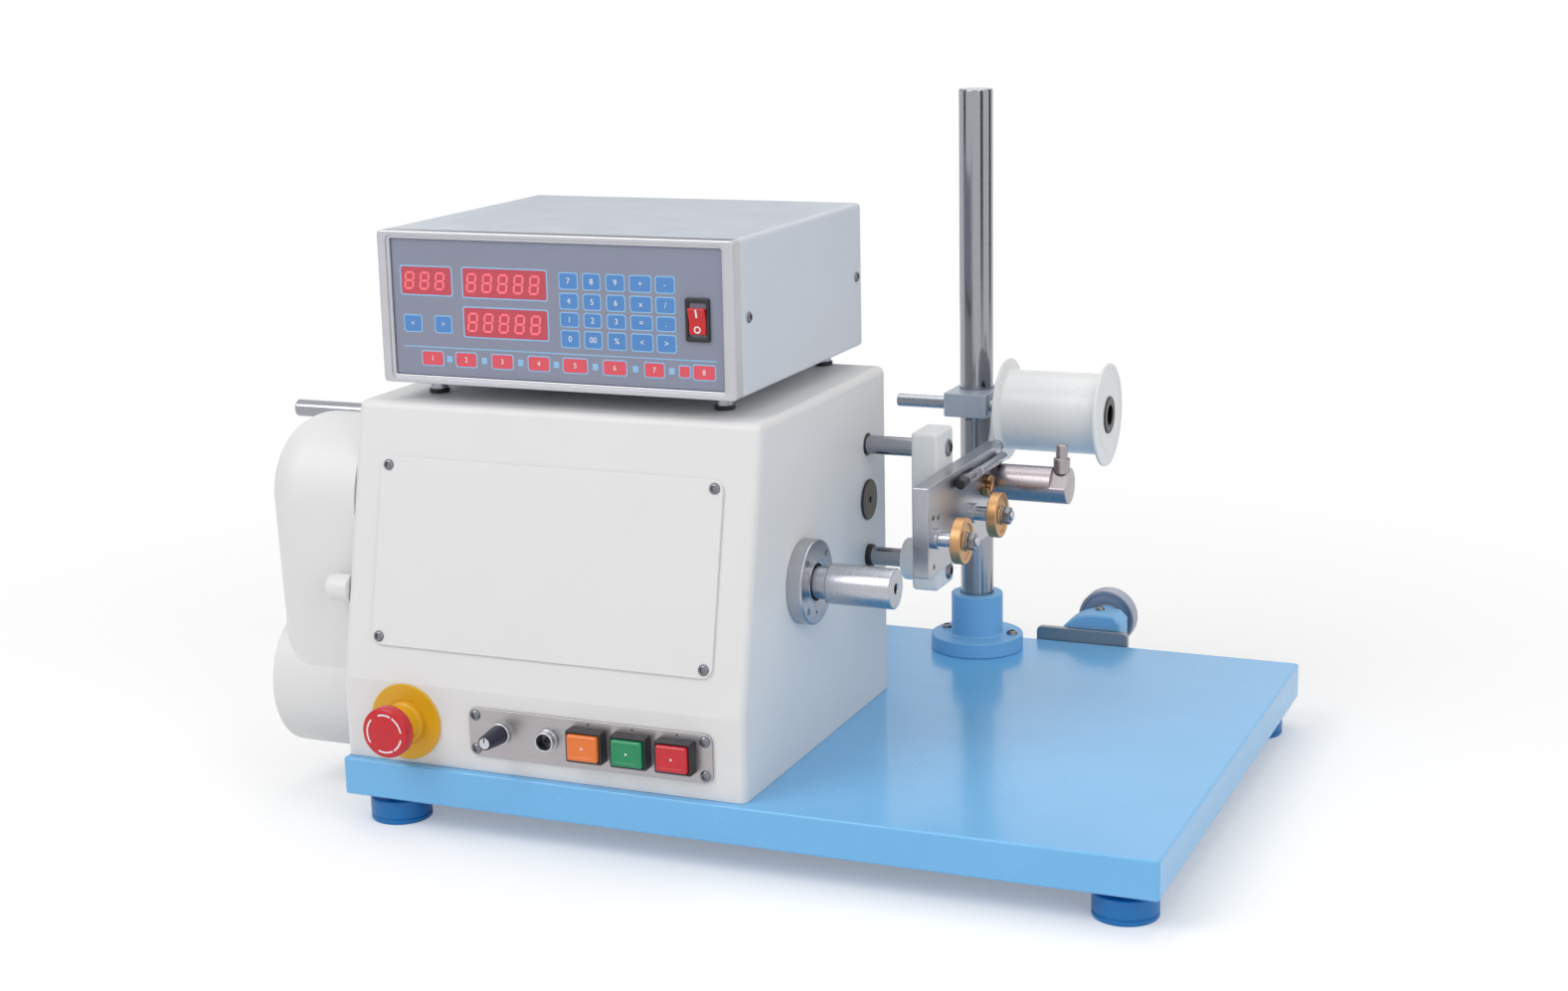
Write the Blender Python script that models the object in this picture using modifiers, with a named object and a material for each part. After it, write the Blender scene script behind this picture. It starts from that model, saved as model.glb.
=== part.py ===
# Bench-top wire coil winding machine: a base plate on feet, a drive housing with
# its switches, a control box, a belt guard, a driven spindle, a sliding wire guide
# head, and a post that carries the wire spool.
# All sizes are in metres. Places are measured from the front left top corner of
# the base plate, with X to the right, Y to the back and Z up.

import bpy
import bmesh
from math import asin, atan2, cos, hypot, pi, radians, sin
from mathutils import Matrix, Vector

# Fits and roundness
fit_gap = 0.0003
weld_distance = 0.00001
merge_distance = 0.00005
cut_overrun = 0.002
large_sides = 28
round_sides = 20
small_sides = 12
tiny_sides = 8
sharp_angle = radians(32)

# Base plate and feet
base_length = 0.650
base_depth = 0.486
base_thickness = 0.030
base_edge_radius = 0.002
foot_radius = 0.0240
foot_body_height = 0.0190
foot_boss_height = 0.0055
foot_boss_radius = 0.0120
foot_chamfer = 0.0015
foot_stud_radius = 0.0040
foot_stud_length = 0.0180
foot_inset = 0.0315

# Drive housing: a sheet shell with a sloping front
housing_length = 0.340
housing_front = 0.007
housing_rear = 0.310
housing_height = 0.274
housing_band_height = 0.0635
housing_slope_depth = 0.046
housing_wall = 0.004
housing_edge_radius = 0.006

# Front cover on the slope
cover_left = 0.0255
cover_right_margin = 0.0265
cover_low = 0.0280
cover_height = 0.1455
cover_thickness = 0.0020
cover_corner_radius = 0.008
cover_overlap = 0.014
cover_screw_inset = 0.0065
cover_edge_radius = 0.0006
corner_steps = 5

# Small button head screws
screw_head_radius = 0.0043
screw_head_height = 0.0024
screw_sink = 0.0010
screw_shoulder_share = 0.35
screw_rise_share = 0.85
screw_crown_share = 0.72

# Switch plate on the front band
switch_plate_right_margin = 0.0245
switch_plate_length_share = 0.203 / 0.340
switch_plate_low = 0.0135
switch_plate_height = 0.0380
switch_plate_thickness = 0.0020
switch_plate_corner_radius = 0.0065
switch_screw_inset = 0.0058
switch_height = 0.0332
speed_knob_inset = 0.0270
pedal_socket_share = 0.0409 / 0.0598
last_button_inset = 0.0280
button_pitch_share = 0.0366 / 0.203

# Speed knob
knob_base_radius = 0.0076
knob_tip_radius = 0.0054
knob_length = 0.0250
knob_edge = 0.0010
knob_skirt_radius = 0.0088
knob_skirt_length = 0.0030
knob_shaft_radius = 0.0030
knob_shaft_length = 0.0140
knob_turn = radians(140)

# Pedal socket
socket_radius = 0.0086
socket_proud = 0.0080
socket_barrel_radius = 0.0072
socket_barrel_length = 0.0160
socket_bore_radius = 0.0055
socket_floor = 0.0020
socket_edge = 0.0010

# Push buttons
bezel_width = 0.0300
bezel_height = 0.0250
bezel_proud = 0.0090
bezel_barrel_width = 0.0282
bezel_barrel_height = 0.0232
bezel_barrel_length = 0.0150
bezel_floor = 0.0020
bezel_edge_radius = 0.0012
button_width = 0.0250
button_height = 0.0200
button_depth = 0.0120
button_proud = 0.0030
button_edge_radius = 0.0012
button_travel = 0.0030

# Emergency stop
estop_x = 0.0560
estop_z = 0.0335
estop_disc_radius = 0.0300
estop_disc_thickness = 0.0020
estop_collar_base_radius = 0.0165
estop_collar_radius = 0.0140
estop_collar_length = 0.0135
estop_barrel_radius = 0.0110
estop_barrel_length = 0.0300
estop_barrel_floor = 0.0040
estop_bore_radius = 0.0093
estop_head_radius = 0.0200
estop_head_thickness = 0.0100
estop_head_crown = 0.0015
estop_head_edge = 0.0030
estop_head_edge_share = 0.3
estop_head_gap = 0.0070
estop_stem_length = 0.0220
estop_travel = 0.0060

# Control box on top of the housing
box_left = 0.0215
box_length = 0.2970
box_front = 0.0580
box_rear = 0.3150
box_height = 0.1170
box_wall = 0.0020
box_edge_radius = 0.0035
frame_depth = 0.0120
frame_side_width = 0.0100
frame_rail_width = 0.0060
frame_edge_radius = 0.0012
panel_setback = 0.0035
panel_thickness = 0.0030
box_foot_radius = 0.0068
box_foot_ring_radius = 0.0081
box_foot_ring_height = 0.0028
box_foot_gap = 0.0150
box_foot_left_inset = 0.0235
box_foot_right_inset = 0.0285
box_foot_front = 0.0420
box_foot_rear = 0.0180
side_screw_front = 0.0130
side_screw_rear = 0.0130

# Power switch in the control panel
power_switch_inset = 0.0305
power_switch_rise = 0.0582
power_bezel_width = 0.0194
power_bezel_height = 0.0323
power_bezel_proud = 0.0020
power_barrel_width = 0.0174
power_barrel_height = 0.0300
power_barrel_length = 0.0200
power_barrel_floor = 0.0020
rocker_width = 0.0138
rocker_height = 0.0220
rocker_depth = 0.0110
rocker_pivot_depth = 0.0060
rocker_crown = 0.0016
rocker_tilt = radians(8)
rocker_window_width = 0.0146
rocker_window_height = 0.0252

# Spindle
spindle_y = 0.1242
spindle_z = 0.1396
spindle_cap_radius = 0.0328
spindle_cap_thickness = 0.0119
spindle_cap_edge = 0.0012
spindle_barrel_radius = 0.0280
spindle_barrel_length = 0.1400
spindle_cap_bore_radius = 0.0145
spindle_cap_screw_circle = 0.0262
spindle_cap_screw_radius = 0.0027
spindle_cap_screw_sink = 0.0008
spindle_bearing_radius = 0.0235
spindle_bearing_width = 0.0120
spindle_bore_radius = 0.0200
spindle_seat_wall = 0.0040
spindle_shaft_radius = 0.0125
spindle_tail = 0.1180
spindle_neck_length = 0.0110
spindle_nose_radius = 0.0156
spindle_nose_length = 0.0524
spindle_nose_edge = 0.0010
spindle_spigot_radius = 0.0090
spindle_spigot_length = 0.0215
mandrel_bore_radius = 0.0038
mandrel_bore_length = 0.0280

# Layshaft, gears and belt drive
drive_y = 0.0990
layshaft_z = 0.1915
motor_z = 0.0353
layshaft_radius = 0.0100
layshaft_land = 0.0140
layshaft_boss_radius = 0.0230
layshaft_boss_length = 0.0580
layshaft_bore_radius = 0.0120
gear_teeth = 28
pinion_teeth = 14
gear_width = 0.0120
gear_clearance = 0.0080
gear_rim_thickness = 0.0070
gear_hub_radius = 0.0200
gear_web_thickness = 0.0050
tooth_backlash_share = 0.90
tooth_tip_share = 0.52
tooth_root_share = 1.475
tooth_addendum_share = 0.95
tooth_dedendum_share = 1.25
drive_plate_thickness = 0.0120
drive_plate_width = 0.0780
drive_plate_rise = 0.0300
drive_plate_foot = 0.0450
motor_size = 0.0600
motor_length = 0.1050
motor_edge_radius = 0.0040
motor_cap_size = 0.0480
motor_cap_length = 0.0220
motor_shaft_radius = 0.0070
motor_shaft_hold = 0.0300
pulley_left = 0.0620
pulley_width = 0.0220
pulley_flange = 0.0020
pulley_flange_rise = 0.0030
layshaft_pulley_radius = 0.0440
motor_pulley_radius = 0.0200
belt_thickness = 0.0035
belt_arc_steps = 14
wall_hole_radius = 0.0140

# Belt guard on the left side
guard_width = 0.0900
guard_wall = 0.0030
guard_top_radius = 0.0613
guard_low_radius = 0.0535
guard_edge_radius = 0.0350
guard_drum_radius = 0.0588
guard_drum_edge = 0.0020
guard_arc_steps = 10
guard_edge_steps = 5
lug_y = 0.0290
lug_z = 0.1290
lug_radius = 0.0108
lug_length = 0.0200
lug_edge = 0.0020
lug_web = 0.0060

# Traverse rods, screw and motor
rod_y = 0.2660
upper_rod_drop = 0.0569
rod_spacing = 0.0921
screw_rise = 0.0466
rod_radius = 0.0075
rod_left_end = -0.2004
rod_chamfer = 0.0010
lower_rod_left = 0.0880
bush_radius = 0.0093
bush_flange_radius = 0.0140
bush_flange_thickness = 0.0035
bush_length = 0.0240
lower_bush_proud = 0.0040
upper_bush_proud = 0.0008
traverse_motor_size = 0.0570
traverse_motor_length = 0.0560
traverse_motor_boss_radius = 0.0190
traverse_motor_boss = 0.0020
traverse_motor_edge = 0.0040
screw_radius = 0.0080
screw_journal_radius = 0.0057
screw_journal_length = 0.0120
screw_cap_radius = 0.0165
screw_cap_proud = 0.0016
screw_cap_barrel_radius = 0.0137
screw_cap_barrel = 0.0160
screw_cap_dimple_radius = 0.0025
screw_cap_dimple = 0.0010
nut_left = 0.0930
nut_thickness = 0.0240
nut_margin = 0.0130
nut_half_depth = 0.0200

# Wire guide head on the rods
block_reach = 0.0440
block_thickness = 0.0222
block_half_depth = 0.0200
block_top_margin = 0.0160
block_low_margin = 0.0205
block_edge_radius = 0.0030
block_boss_radius = 0.0170
block_boss_length = 0.0118
block_boss_edge = 0.0020
rod_block_wall = 0.0060
block_screw_radius = 0.0074
block_screw_height = 0.0030
block_screw_shift = 0.0070
block_screw_drop = 0.0090
plate_front = 0.1870
plate_length = 0.1840
plate_rise = 0.0060
plate_height = 0.0720
plate_thickness = 0.0130
plate_edge_radius = 0.0006
plate_cap_radius = 0.0065
plate_cap_length = 0.0080
plate_cap_groove = 0.0010
plate_cap_neck = 0.0024
plate_hole_radius = 0.0022
plate_hole_depth = 0.0050
plate_hole_front = 0.0125
plate_hole_low = 0.0070
plate_hole_high = 0.0450
front_roller_y = 0.2014
rear_roller_y = 0.2913
roller_rise = 0.0293
roller_radius = 0.0183
roller_width = 0.0085
roller_bore_radius = 0.0045
roller_edge = 0.0008
roller_recess = 0.0010
roller_recess_radius = 0.0140
roller_hub_radius = 0.0075
stud_ring_radius = 0.0080
stud_ring_length = 0.0040
stud_spacer_radius = 0.0058
stud_spacer_length = 0.0134
stud_washer_radius = 0.0075
stud_washer_length = 0.0014
stud_nut_radius = 0.0072
stud_nut_length = 0.0055
stud_tip_radius = 0.0036
stud_tip_length = 0.0020
nut_sides = 6
eye_y = 0.3250
eye_rise = 0.0450
eye_radius = 0.0090
eye_bore_radius = 0.0042
eye_thickness = 0.0055
eye_notch_width = 0.0050
lever_rise = 0.0620
lever_rod_radius = 0.0040
lever_rod_front = 0.3000
lever_rod_length = 0.0620
lever_blade_thickness = 0.0030
lever_blade_height = 0.0085
lever_blade_length = 0.0380
lever_slot_height = 0.0030
lever_slot_length = 0.0160
lever_tip_radius = 0.0043
lever_tip_length = 0.0120
lever_overlap = 0.0020
bar_y = 0.3560
bar_rise = 0.0417
bar_radius = 0.0150
bar_length = 0.0633
bar_chamfer = 0.0008
bar_flat_length = 0.0140
bar_flat_share = 0.72
pin_inset = 0.0072
pin_radius = 0.0049
pin_height = 0.0198
pin_foot_radius = 0.0068
pin_foot_height = 0.0080
pin_chamfer = 0.0008
pin_root = 0.0040

# Post, clamp and wire spool
post_reach = 0.0331
post_y = 0.4460
post_radius = 0.0143
post_height = 0.4890
post_chamfer = 0.0012
flange_radius = 0.0403
flange_thickness = 0.0133
flange_edge = 0.0012
hub_radius = 0.0226
hub_height = 0.0504
hub_edge = 0.0015
flange_bolt_circle = 0.0310
flange_bolt_angles = (radians(8), radians(90), radians(168))
flange_bolt_radius = 0.0050
flange_bolt_height = 0.0034
clamp_left_wall = 0.0191
clamp_length = 0.0390
clamp_front_wall = 0.0345
clamp_rear_wall = 0.0200
clamp_drop = 0.0102
clamp_height = 0.0204
clamp_edge_radius = 0.0010
clamp_screw_radius = 0.0035
clamp_screw_head = 0.0040
spool_rod_y = 0.4230
spool_rod_rise = 0.0060
spool_rod_radius = 0.0055
spool_rod_left_reach = 0.0635
spool_rod_right_reach = 0.1129
spool_rod_chamfer = 0.0008
stop_collar_radius = 0.0095
stop_collar_reach = 0.0259
stop_collar_width = 0.0060
spool_reach = 0.0345
spool_length = 0.0894
spool_radius = 0.0434
spool_flange_rim = 0.0022
spool_flange_root = 0.0045
spool_barrel_radius = 0.0340
spool_barrel_wall = 0.0050
spool_web = 0.0120
spool_hub_radius = 0.0155
spool_bush_bore = 0.0085
spool_bush_proud = 0.0012
spool_edge = 0.0008

# Rear guide wheel on its bracket
bracket_left = 0.4155
bracket_length = 0.0830
bracket_rise = 0.0115
bracket_drop = 0.0285
bracket_thickness = 0.0060
bracket_corner = 0.0045
wheel_x = 0.4666
wheel_z = 0.0104
wheel_radius = 0.0258
wheel_width = 0.0150
wheel_edge = 0.0015
wheel_recess = 0.0030
wheel_recess_radius = 0.0225
wheel_hub_radius = 0.0120
arm_length = 0.0280
arm_crown_radius = 0.0380
arm_right_reach = 0.0235
arm_rise = 0.0140
arm_drop = 0.0200
arm_edge_radius = 0.0030
arm_hub_radius = 0.0130
arm_hub_length = 0.0120
arm_arc_steps = 8
axle_radius = 0.0050
axle_nut_radius = 0.0080
axle_nut_length = 0.0030
arm_bolt_radius = 0.0045
arm_bolt_height = 0.0035
arm_bolt_inset = 0.0090

half_share = 0.5
quarter_turn = pi / 2
full_turn = 2 * pi

# Places worked out from the sizes above
cover_length = housing_length - cover_left - cover_right_margin
switch_plate_length = housing_length * switch_plate_length_share
button_pitch = switch_plate_length * button_pitch_share
switch_plate_left = housing_length - switch_plate_right_margin - switch_plate_length
speed_knob_x = switch_plate_left + speed_knob_inset
first_button_x = (switch_plate_left + switch_plate_length - last_button_inset
                  - 2 * button_pitch)
first_bezel_left = first_button_x - bezel_width * half_share
pedal_socket_x = speed_knob_x + (first_bezel_left - speed_knob_x) * pedal_socket_share
power_switch_x = box_left + box_length - power_switch_inset
block_left = housing_length + block_reach
upper_rod_z = housing_height - upper_rod_drop
lower_rod_z = upper_rod_z - rod_spacing
screw_z = lower_rod_z + screw_rise
plate_low = lower_rod_z + plate_rise
roller_z = plate_low + roller_rise
eye_z = plate_low + eye_rise
lever_z = plate_low + lever_rise
bar_z = plate_low + bar_rise
post_x = housing_length + post_reach
clamp_left = post_x - clamp_left_wall
spool_rod_z = upper_rod_z + spool_rod_rise
clamp_low = spool_rod_z - clamp_drop
spool_rod_left = post_x - spool_rod_left_reach
spool_rod_right = post_x + spool_rod_right_reach
stop_collar_left = post_x + stop_collar_reach
spool_left = post_x + spool_reach
housing_top = housing_height
slope_turn = quarter_turn - atan2(housing_slope_depth, housing_height - housing_band_height)
box_low = housing_top + box_foot_gap
cap_face_x = housing_length + fit_gap + spindle_cap_thickness
nose_left = cap_face_x + spindle_neck_length
nose_right = nose_left + spindle_nose_length
plate_left = block_left + block_thickness + fit_gap
plate_right = plate_left + plate_thickness
plate_rear = plate_front + plate_length
plate_top = plate_low + plate_height
switch_face_y = housing_front - fit_gap - switch_plate_thickness
estop_front = (housing_front - fit_gap - estop_disc_thickness - estop_collar_length
               - estop_head_gap - estop_head_thickness - estop_head_crown)
bracket_y = base_depth + fit_gap
arm_y = bracket_y + bracket_thickness + fit_gap
wheel_y = arm_y + arm_length + arm_hub_length + fit_gap
wheel_rear = wheel_y + wheel_width + fit_gap + axle_nut_length
foot_height = foot_body_height + foot_boss_height + fit_gap
spool_z = spool_rod_z - (spool_bush_bore - spool_rod_radius - fit_gap)

for old in list(bpy.data.objects):
    bpy.data.objects.remove(old, do_unlink=True)

parts = bpy.data.collections.new("Wire coil winding machine")
cutters = bpy.data.collections.new("Cutters")
bpy.context.scene.collection.children.link(parts)
bpy.context.scene.collection.children.link(cutters)

# Euler turns that lay a shape's own Z axis along a machine axis
along = {
    "x": (0, quarter_turn, 0),
    "-x": (0, -quarter_turn, 0),
    "y": (-quarter_turn, 0, 0),
    "-y": (quarter_turn, 0, 0),
    "z": (0, 0, 0),
    "-z": (pi, 0, 0),
}
# Euler turns that stand a flat outline in a machine plane
in_plane = {"yz": (quarter_turn, 0, quarter_turn), "xz": (quarter_turn, 0, 0), "xy": (0, 0, 0)}


def axis_point(name, place, parent=None, turn=(0, 0, 0)):
    """An empty that carries pieces, set on a joint's axis or on a sloping face."""
    point = bpy.data.objects.new(name, None)
    parts.objects.link(point)
    point.parent = parent
    point.location = place
    point.rotation_euler = turn
    return point


origin = axis_point("machine_origin", (
    -(rod_left_end + base_length) * half_share,
    -(estop_front + wheel_rear) * half_share,
    base_thickness + foot_height))


def paint(name, colour, roughness, metallic):
    """A plain Principled material for one piece."""
    material = bpy.data.materials.new(name)
    material.use_nodes = True
    shader = material.node_tree.nodes["Principled BSDF"]
    shader.inputs["Base Color"].default_value = (*colour, 1)
    shader.inputs["Roughness"].default_value = roughness
    shader.inputs["Metallic"].default_value = metallic
    return material


blue = (0.03, 0.24, 0.62)
deep_blue = (0.01, 0.16, 0.50)
cream = (0.72, 0.74, 0.72)
steel = (0.52, 0.53, 0.55)
dark_steel = (0.10, 0.10, 0.11)
brass = (0.72, 0.45, 0.18)
black = (0.02, 0.02, 0.02)
nylon = (0.85, 0.87, 0.88)
finishes = {
    "paint": (0.35, 0.0), "metal": (0.28, 1.0), "plastic": (0.42, 0.0), "rubber": (0.75, 0.0)}


def place_piece(name, mesh, place, parent, turn, look, group):
    """Make an object from a mesh; look is a (colour, finish) pair, or None for a cutter."""
    piece = bpy.data.objects.new(name, mesh)
    group.objects.link(piece)
    piece.parent = parent or origin
    piece.location = place
    piece.rotation_euler = turn
    if look:
        colour, finish = look
        mesh.materials.append(paint(name, colour, *finishes[finish]))
    else:
        piece.hide_render = True
        piece.display_type = "WIRE"
    if mesh.polygons:
        mesh.shade_smooth()
        mesh.set_sharp_from_angle(angle=sharp_angle)
    return piece


def bevel(piece, width, segments=2, angle=sharp_angle):
    """Round every edge that turns by more than the angle."""
    rounding = piece.modifiers.new("Rounded edges", "BEVEL")
    rounding.width = width
    rounding.segments = segments
    rounding.limit_method = "ANGLE"
    rounding.angle_limit = angle
    return piece


def box(name, low, high, look=None, parent=None, radius=0, segments=2):
    """A box between two corners."""
    form = bmesh.new()
    bmesh.ops.create_cube(form, size=1)
    size = Vector(high) - Vector(low)
    bmesh.ops.scale(form, vec=size, verts=form.verts)
    mesh = bpy.data.meshes.new(name)
    form.to_mesh(mesh)
    form.free()
    centre = (Vector(high) + Vector(low)) * half_share
    group = parts if look else cutters
    piece = place_piece(name, mesh, centre, parent, (0, 0, 0), look, group)
    if radius:
        bevel(piece, radius, segments)
    return piece


def cylinder(name, radius, length, place, axis, look=None, parent=None, sides=round_sides):
    """A round bar that starts at the place and runs along the axis."""
    form = bmesh.new()
    bmesh.ops.create_cone(form, cap_ends=True, segments=sides,
                          radius1=radius, radius2=radius, depth=length)
    bmesh.ops.translate(form, vec=(0, 0, length * half_share), verts=form.verts)
    mesh = bpy.data.meshes.new(name)
    form.to_mesh(mesh)
    form.free()
    group = parts if look else cutters
    return place_piece(name, mesh, place, parent, along[axis], look, group)


def turned(name, profile, place, axis, look=None, parent=None, sides=round_sides):
    """A turned shape from (radius, distance along the axis) points, as a closed section."""
    doubled_area = sum(
        a[0] * b[1] - b[0] * a[1] for a, b in zip(profile, profile[1:] + profile[:1]))
    if doubled_area > 0:
        profile = profile[::-1]
    mesh = bpy.data.meshes.new(name)
    count = len(profile)
    edges = [(i, (i + 1) % count) for i in range(count)]
    # An edge that lies on the axis would turn into nothing, so it is left out
    edges = [(i, j) for i, j in edges if profile[i][0] > 0 or profile[j][0] > 0]
    mesh.from_pydata([(radius, 0, distance) for radius, distance in profile], edges, [])
    group = parts if look else cutters
    piece = place_piece(name, mesh, place, parent, along[axis], look, group)
    spin = piece.modifiers.new("Turned", "SCREW")
    spin.steps = sides
    spin.render_steps = sides
    spin.use_merge_vertices = True
    spin.merge_threshold = merge_distance
    spin.use_smooth_shade = True
    return piece


def outline(name, loops, thickness, place, plane, look=None, parent=None):
    """A flat outline, with any inner loops as holes, given a thickness about its plane."""
    curve = bpy.data.curves.new(name, "CURVE")
    curve.dimensions = "2D"
    curve.fill_mode = "BOTH"
    curve.extrude = thickness * half_share
    for loop in loops:
        spline = curve.splines.new("POLY")
        spline.points.add(len(loop) - 1)
        for point, (across, up) in zip(spline.points, loop):
            point.co = (across, up, 0, 1)
        spline.use_cyclic_u = True
    drawn = bpy.data.objects.new(name + "_outline", curve)
    cutters.objects.link(drawn)
    graph = bpy.context.evaluated_depsgraph_get()
    mesh = bpy.data.meshes.new_from_object(drawn.evaluated_get(graph))
    bpy.data.objects.remove(drawn, do_unlink=True)
    form = bmesh.new()
    form.from_mesh(mesh)
    bmesh.ops.remove_doubles(form, verts=form.verts, dist=weld_distance)
    bmesh.ops.dissolve_limit(form, angle_limit=radians(0.5), verts=form.verts, edges=form.edges)
    bmesh.ops.recalc_face_normals(form, faces=form.faces)
    form.to_mesh(mesh)
    form.free()
    mesh.name = name
    group = parts if look else cutters
    return place_piece(name, mesh, place, parent, in_plane[plane], look, group)


def combine(piece, tool, operation):
    """Add a Boolean modifier and keep its tool among the cutters."""
    if tool.name in parts.objects:
        parts.objects.unlink(tool)
        cutters.objects.link(tool)
    tool.hide_render = True
    tool.display_type = "WIRE"
    step = piece.modifiers.new(operation.title(), "BOOLEAN")
    step.operation = operation
    step.object = tool
    step.solver = "EXACT"
    return piece


def cut(piece, *tools):
    """Cut the tools' shapes out of a piece."""
    for tool in tools:
        combine(piece, tool, "DIFFERENCE")
    return piece


def join(piece, *tools):
    """Make the tools' shapes one solid with a piece."""
    for tool in tools:
        combine(piece, tool, "UNION")
    return piece


def rounded_rectangle(left, low, length, height, radius, steps=corner_steps):
    """Corner points of a rectangle with round corners."""
    points = []
    corners = ((left + length - radius, low + height - radius, 0),
               (left + radius, low + height - radius, 1),
               (left + radius, low + radius, 2),
               (left + length - radius, low + radius, 3))
    for across, up, quarter in corners:
        for step in range(steps + 1):
            angle = (quarter + step / steps) * quarter_turn
            points.append((across + radius * cos(angle), up + radius * sin(angle)))
    return points


def belt_line(low, low_radius, high, high_radius, steps, spread=1):
    """The closed line of a belt round two circles, the high one above the low one.

    The spread moves the points out, so that the straight runs between them clear the circles.
    """
    span = hypot(high[0] - low[0], high[1] - low[1])
    lean = asin((high_radius - low_radius) / span)
    points = []
    for centre, radius, start, sweep in ((high, high_radius * spread, -lean, pi + 2 * lean),
                                         (low, low_radius * spread, pi + lean, pi - 2 * lean)):
        for step in range(steps + 1):
            angle = start + sweep * step / steps
            points.append((centre[0] + radius * cos(angle), centre[1] + radius * sin(angle)))
    return points


def screw_head(place, axis, parent=None, radius=screw_head_radius, height=screw_head_height):
    """A button head, as a tool that joins the face it sits on."""
    profile = [(0, -screw_sink), (radius, -screw_sink), (radius, height * screw_shoulder_share),
               (radius * screw_crown_share, height * screw_rise_share), (0, height)]
    return turned("screw_head", profile, place, axis, parent=parent, sides=tiny_sides)


def build_base():
    base = box("base_plate", (0, 0, -base_thickness), (base_length, base_depth, 0),
               (blue, "paint"), radius=base_edge_radius)
    corners = [(x, y) for x in (foot_inset, base_length - foot_inset)
               for y in (foot_inset, base_depth - foot_inset)]
    hole_depth = foot_stud_length + cut_overrun
    for x, y in corners:
        cut(base, cylinder("foot_hole", foot_stud_radius + fit_gap, hole_depth + cut_overrun,
                           (x, y, -base_thickness - cut_overrun), "z", sides=small_sides))
    boss_low = -foot_boss_height
    body_low = boss_low - foot_body_height
    profile = [(0, foot_stud_length), (foot_stud_radius, foot_stud_length), (foot_stud_radius, 0),
               (foot_boss_radius, 0), (foot_boss_radius, boss_low),
               (foot_radius - foot_chamfer, boss_low), (foot_radius, boss_low - foot_chamfer),
               (foot_radius, body_low + foot_chamfer), (foot_radius - foot_chamfer, body_low),
               (0, body_low)]
    names = ("front_left_foot", "rear_left_foot", "front_right_foot", "rear_right_foot")
    for name, (x, y) in zip(names, corners):
        turned(name, profile, (x, y, -base_thickness - fit_gap), "z", (deep_blue, "plastic"),
               sides=small_sides)


def build_housing():
    side = [(housing_front, 0), (housing_rear, 0), (housing_rear, housing_height),
            (housing_front + housing_slope_depth, housing_height),
            (housing_front, housing_band_height)]
    housing = outline("housing", [side], housing_length, (housing_length * half_share, 0, fit_gap),
                      "yz", (cream, "paint"))
    form = bmesh.new()
    form.from_mesh(housing.data)
    floor_faces = [face for face in form.faces if face.normal.y < -cos(sharp_angle)]
    bmesh.ops.delete(form, geom=floor_faces, context="FACES")
    form.to_mesh(housing.data)
    form.free()
    bevel(housing, housing_edge_radius, segments=2)
    shell = housing.modifiers.new("Sheet", "SOLIDIFY")
    shell.thickness = housing_wall
    shell.offset = -1
    shell.use_even_offset = True
    through = housing_wall + 2 * cut_overrun
    right = housing_length + cut_overrun
    left = -cut_overrun
    cut(housing,
        cylinder("spindle_hole", spindle_barrel_radius + fit_gap, through,
                 (right, spindle_y, spindle_z), "-x", sides=large_sides),
        cylinder("screw_cap_hole", screw_cap_barrel_radius + fit_gap, through,
                 (right, rod_y, screw_z), "-x"))
    for z in (upper_rod_z, lower_rod_z):
        cut(housing, cylinder("rod_hole", bush_radius + fit_gap, through, (right, rod_y, z), "-x",
                              sides=small_sides))
    # The left wall carries its rod bush as a pressed-in collar
    collar_left = -upper_bush_proud
    join(housing, cylinder("rod_collar", bush_radius, bush_length - collar_left,
                           (collar_left, rod_y, upper_rod_z), "x", sides=small_sides))
    cut(housing, cylinder("rod_collar_bore", rod_radius + fit_gap,
                          bush_length - collar_left + 2 * cut_overrun,
                          (collar_left - cut_overrun, rod_y, upper_rod_z), "x",
                          sides=small_sides))
    for z in (layshaft_z, motor_z):
        cut(housing, cylinder("shaft_hole", wall_hole_radius, through, (left, drive_y, z), "x",
                              sides=small_sides))
    front = housing_front - cut_overrun
    cut(housing, cylinder("estop_hole", estop_barrel_radius + fit_gap, through,
                          (estop_x, front, estop_z), "y"))
    window_left = speed_knob_x - knob_shaft_radius - cut_overrun
    window_right = first_button_x + 2 * button_pitch + bezel_barrel_width * half_share + cut_overrun
    window_half = bezel_barrel_height * half_share + cut_overrun
    cut(housing, box("switch_window", (window_left, front, switch_height - window_half),
                     (window_right, front + through, switch_height + window_half)))
    slope = axis_point("front_slope", (0, housing_front, housing_band_height + fit_gap), origin,
                       (slope_turn, 0, 0))
    low = Vector((cover_left + cover_overlap, cover_low + cover_overlap, -through))
    high = Vector((cover_left + cover_length - cover_overlap,
                   cover_low + cover_height - cover_overlap, cut_overrun))
    cut(housing, box("cover_window", low, high, parent=slope))
    cover_loop = rounded_rectangle(cover_left, cover_low, cover_length, cover_height,
                                   cover_corner_radius)
    cover_rise = fit_gap + cover_thickness * half_share
    cover = outline("front_cover", [cover_loop], cover_thickness, (0, 0, cover_rise), "xy",
                    (cream, "paint"), slope)
    bevel(cover, cover_edge_radius, segments=1, angle=radians(60))
    for across in (cover_left + cover_screw_inset, cover_left + cover_length - cover_screw_inset):
        for up in (cover_low + cover_screw_inset, cover_low + cover_height - cover_screw_inset):
            join(cover, screw_head((across, up, fit_gap + cover_thickness), "z", slope))


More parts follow.
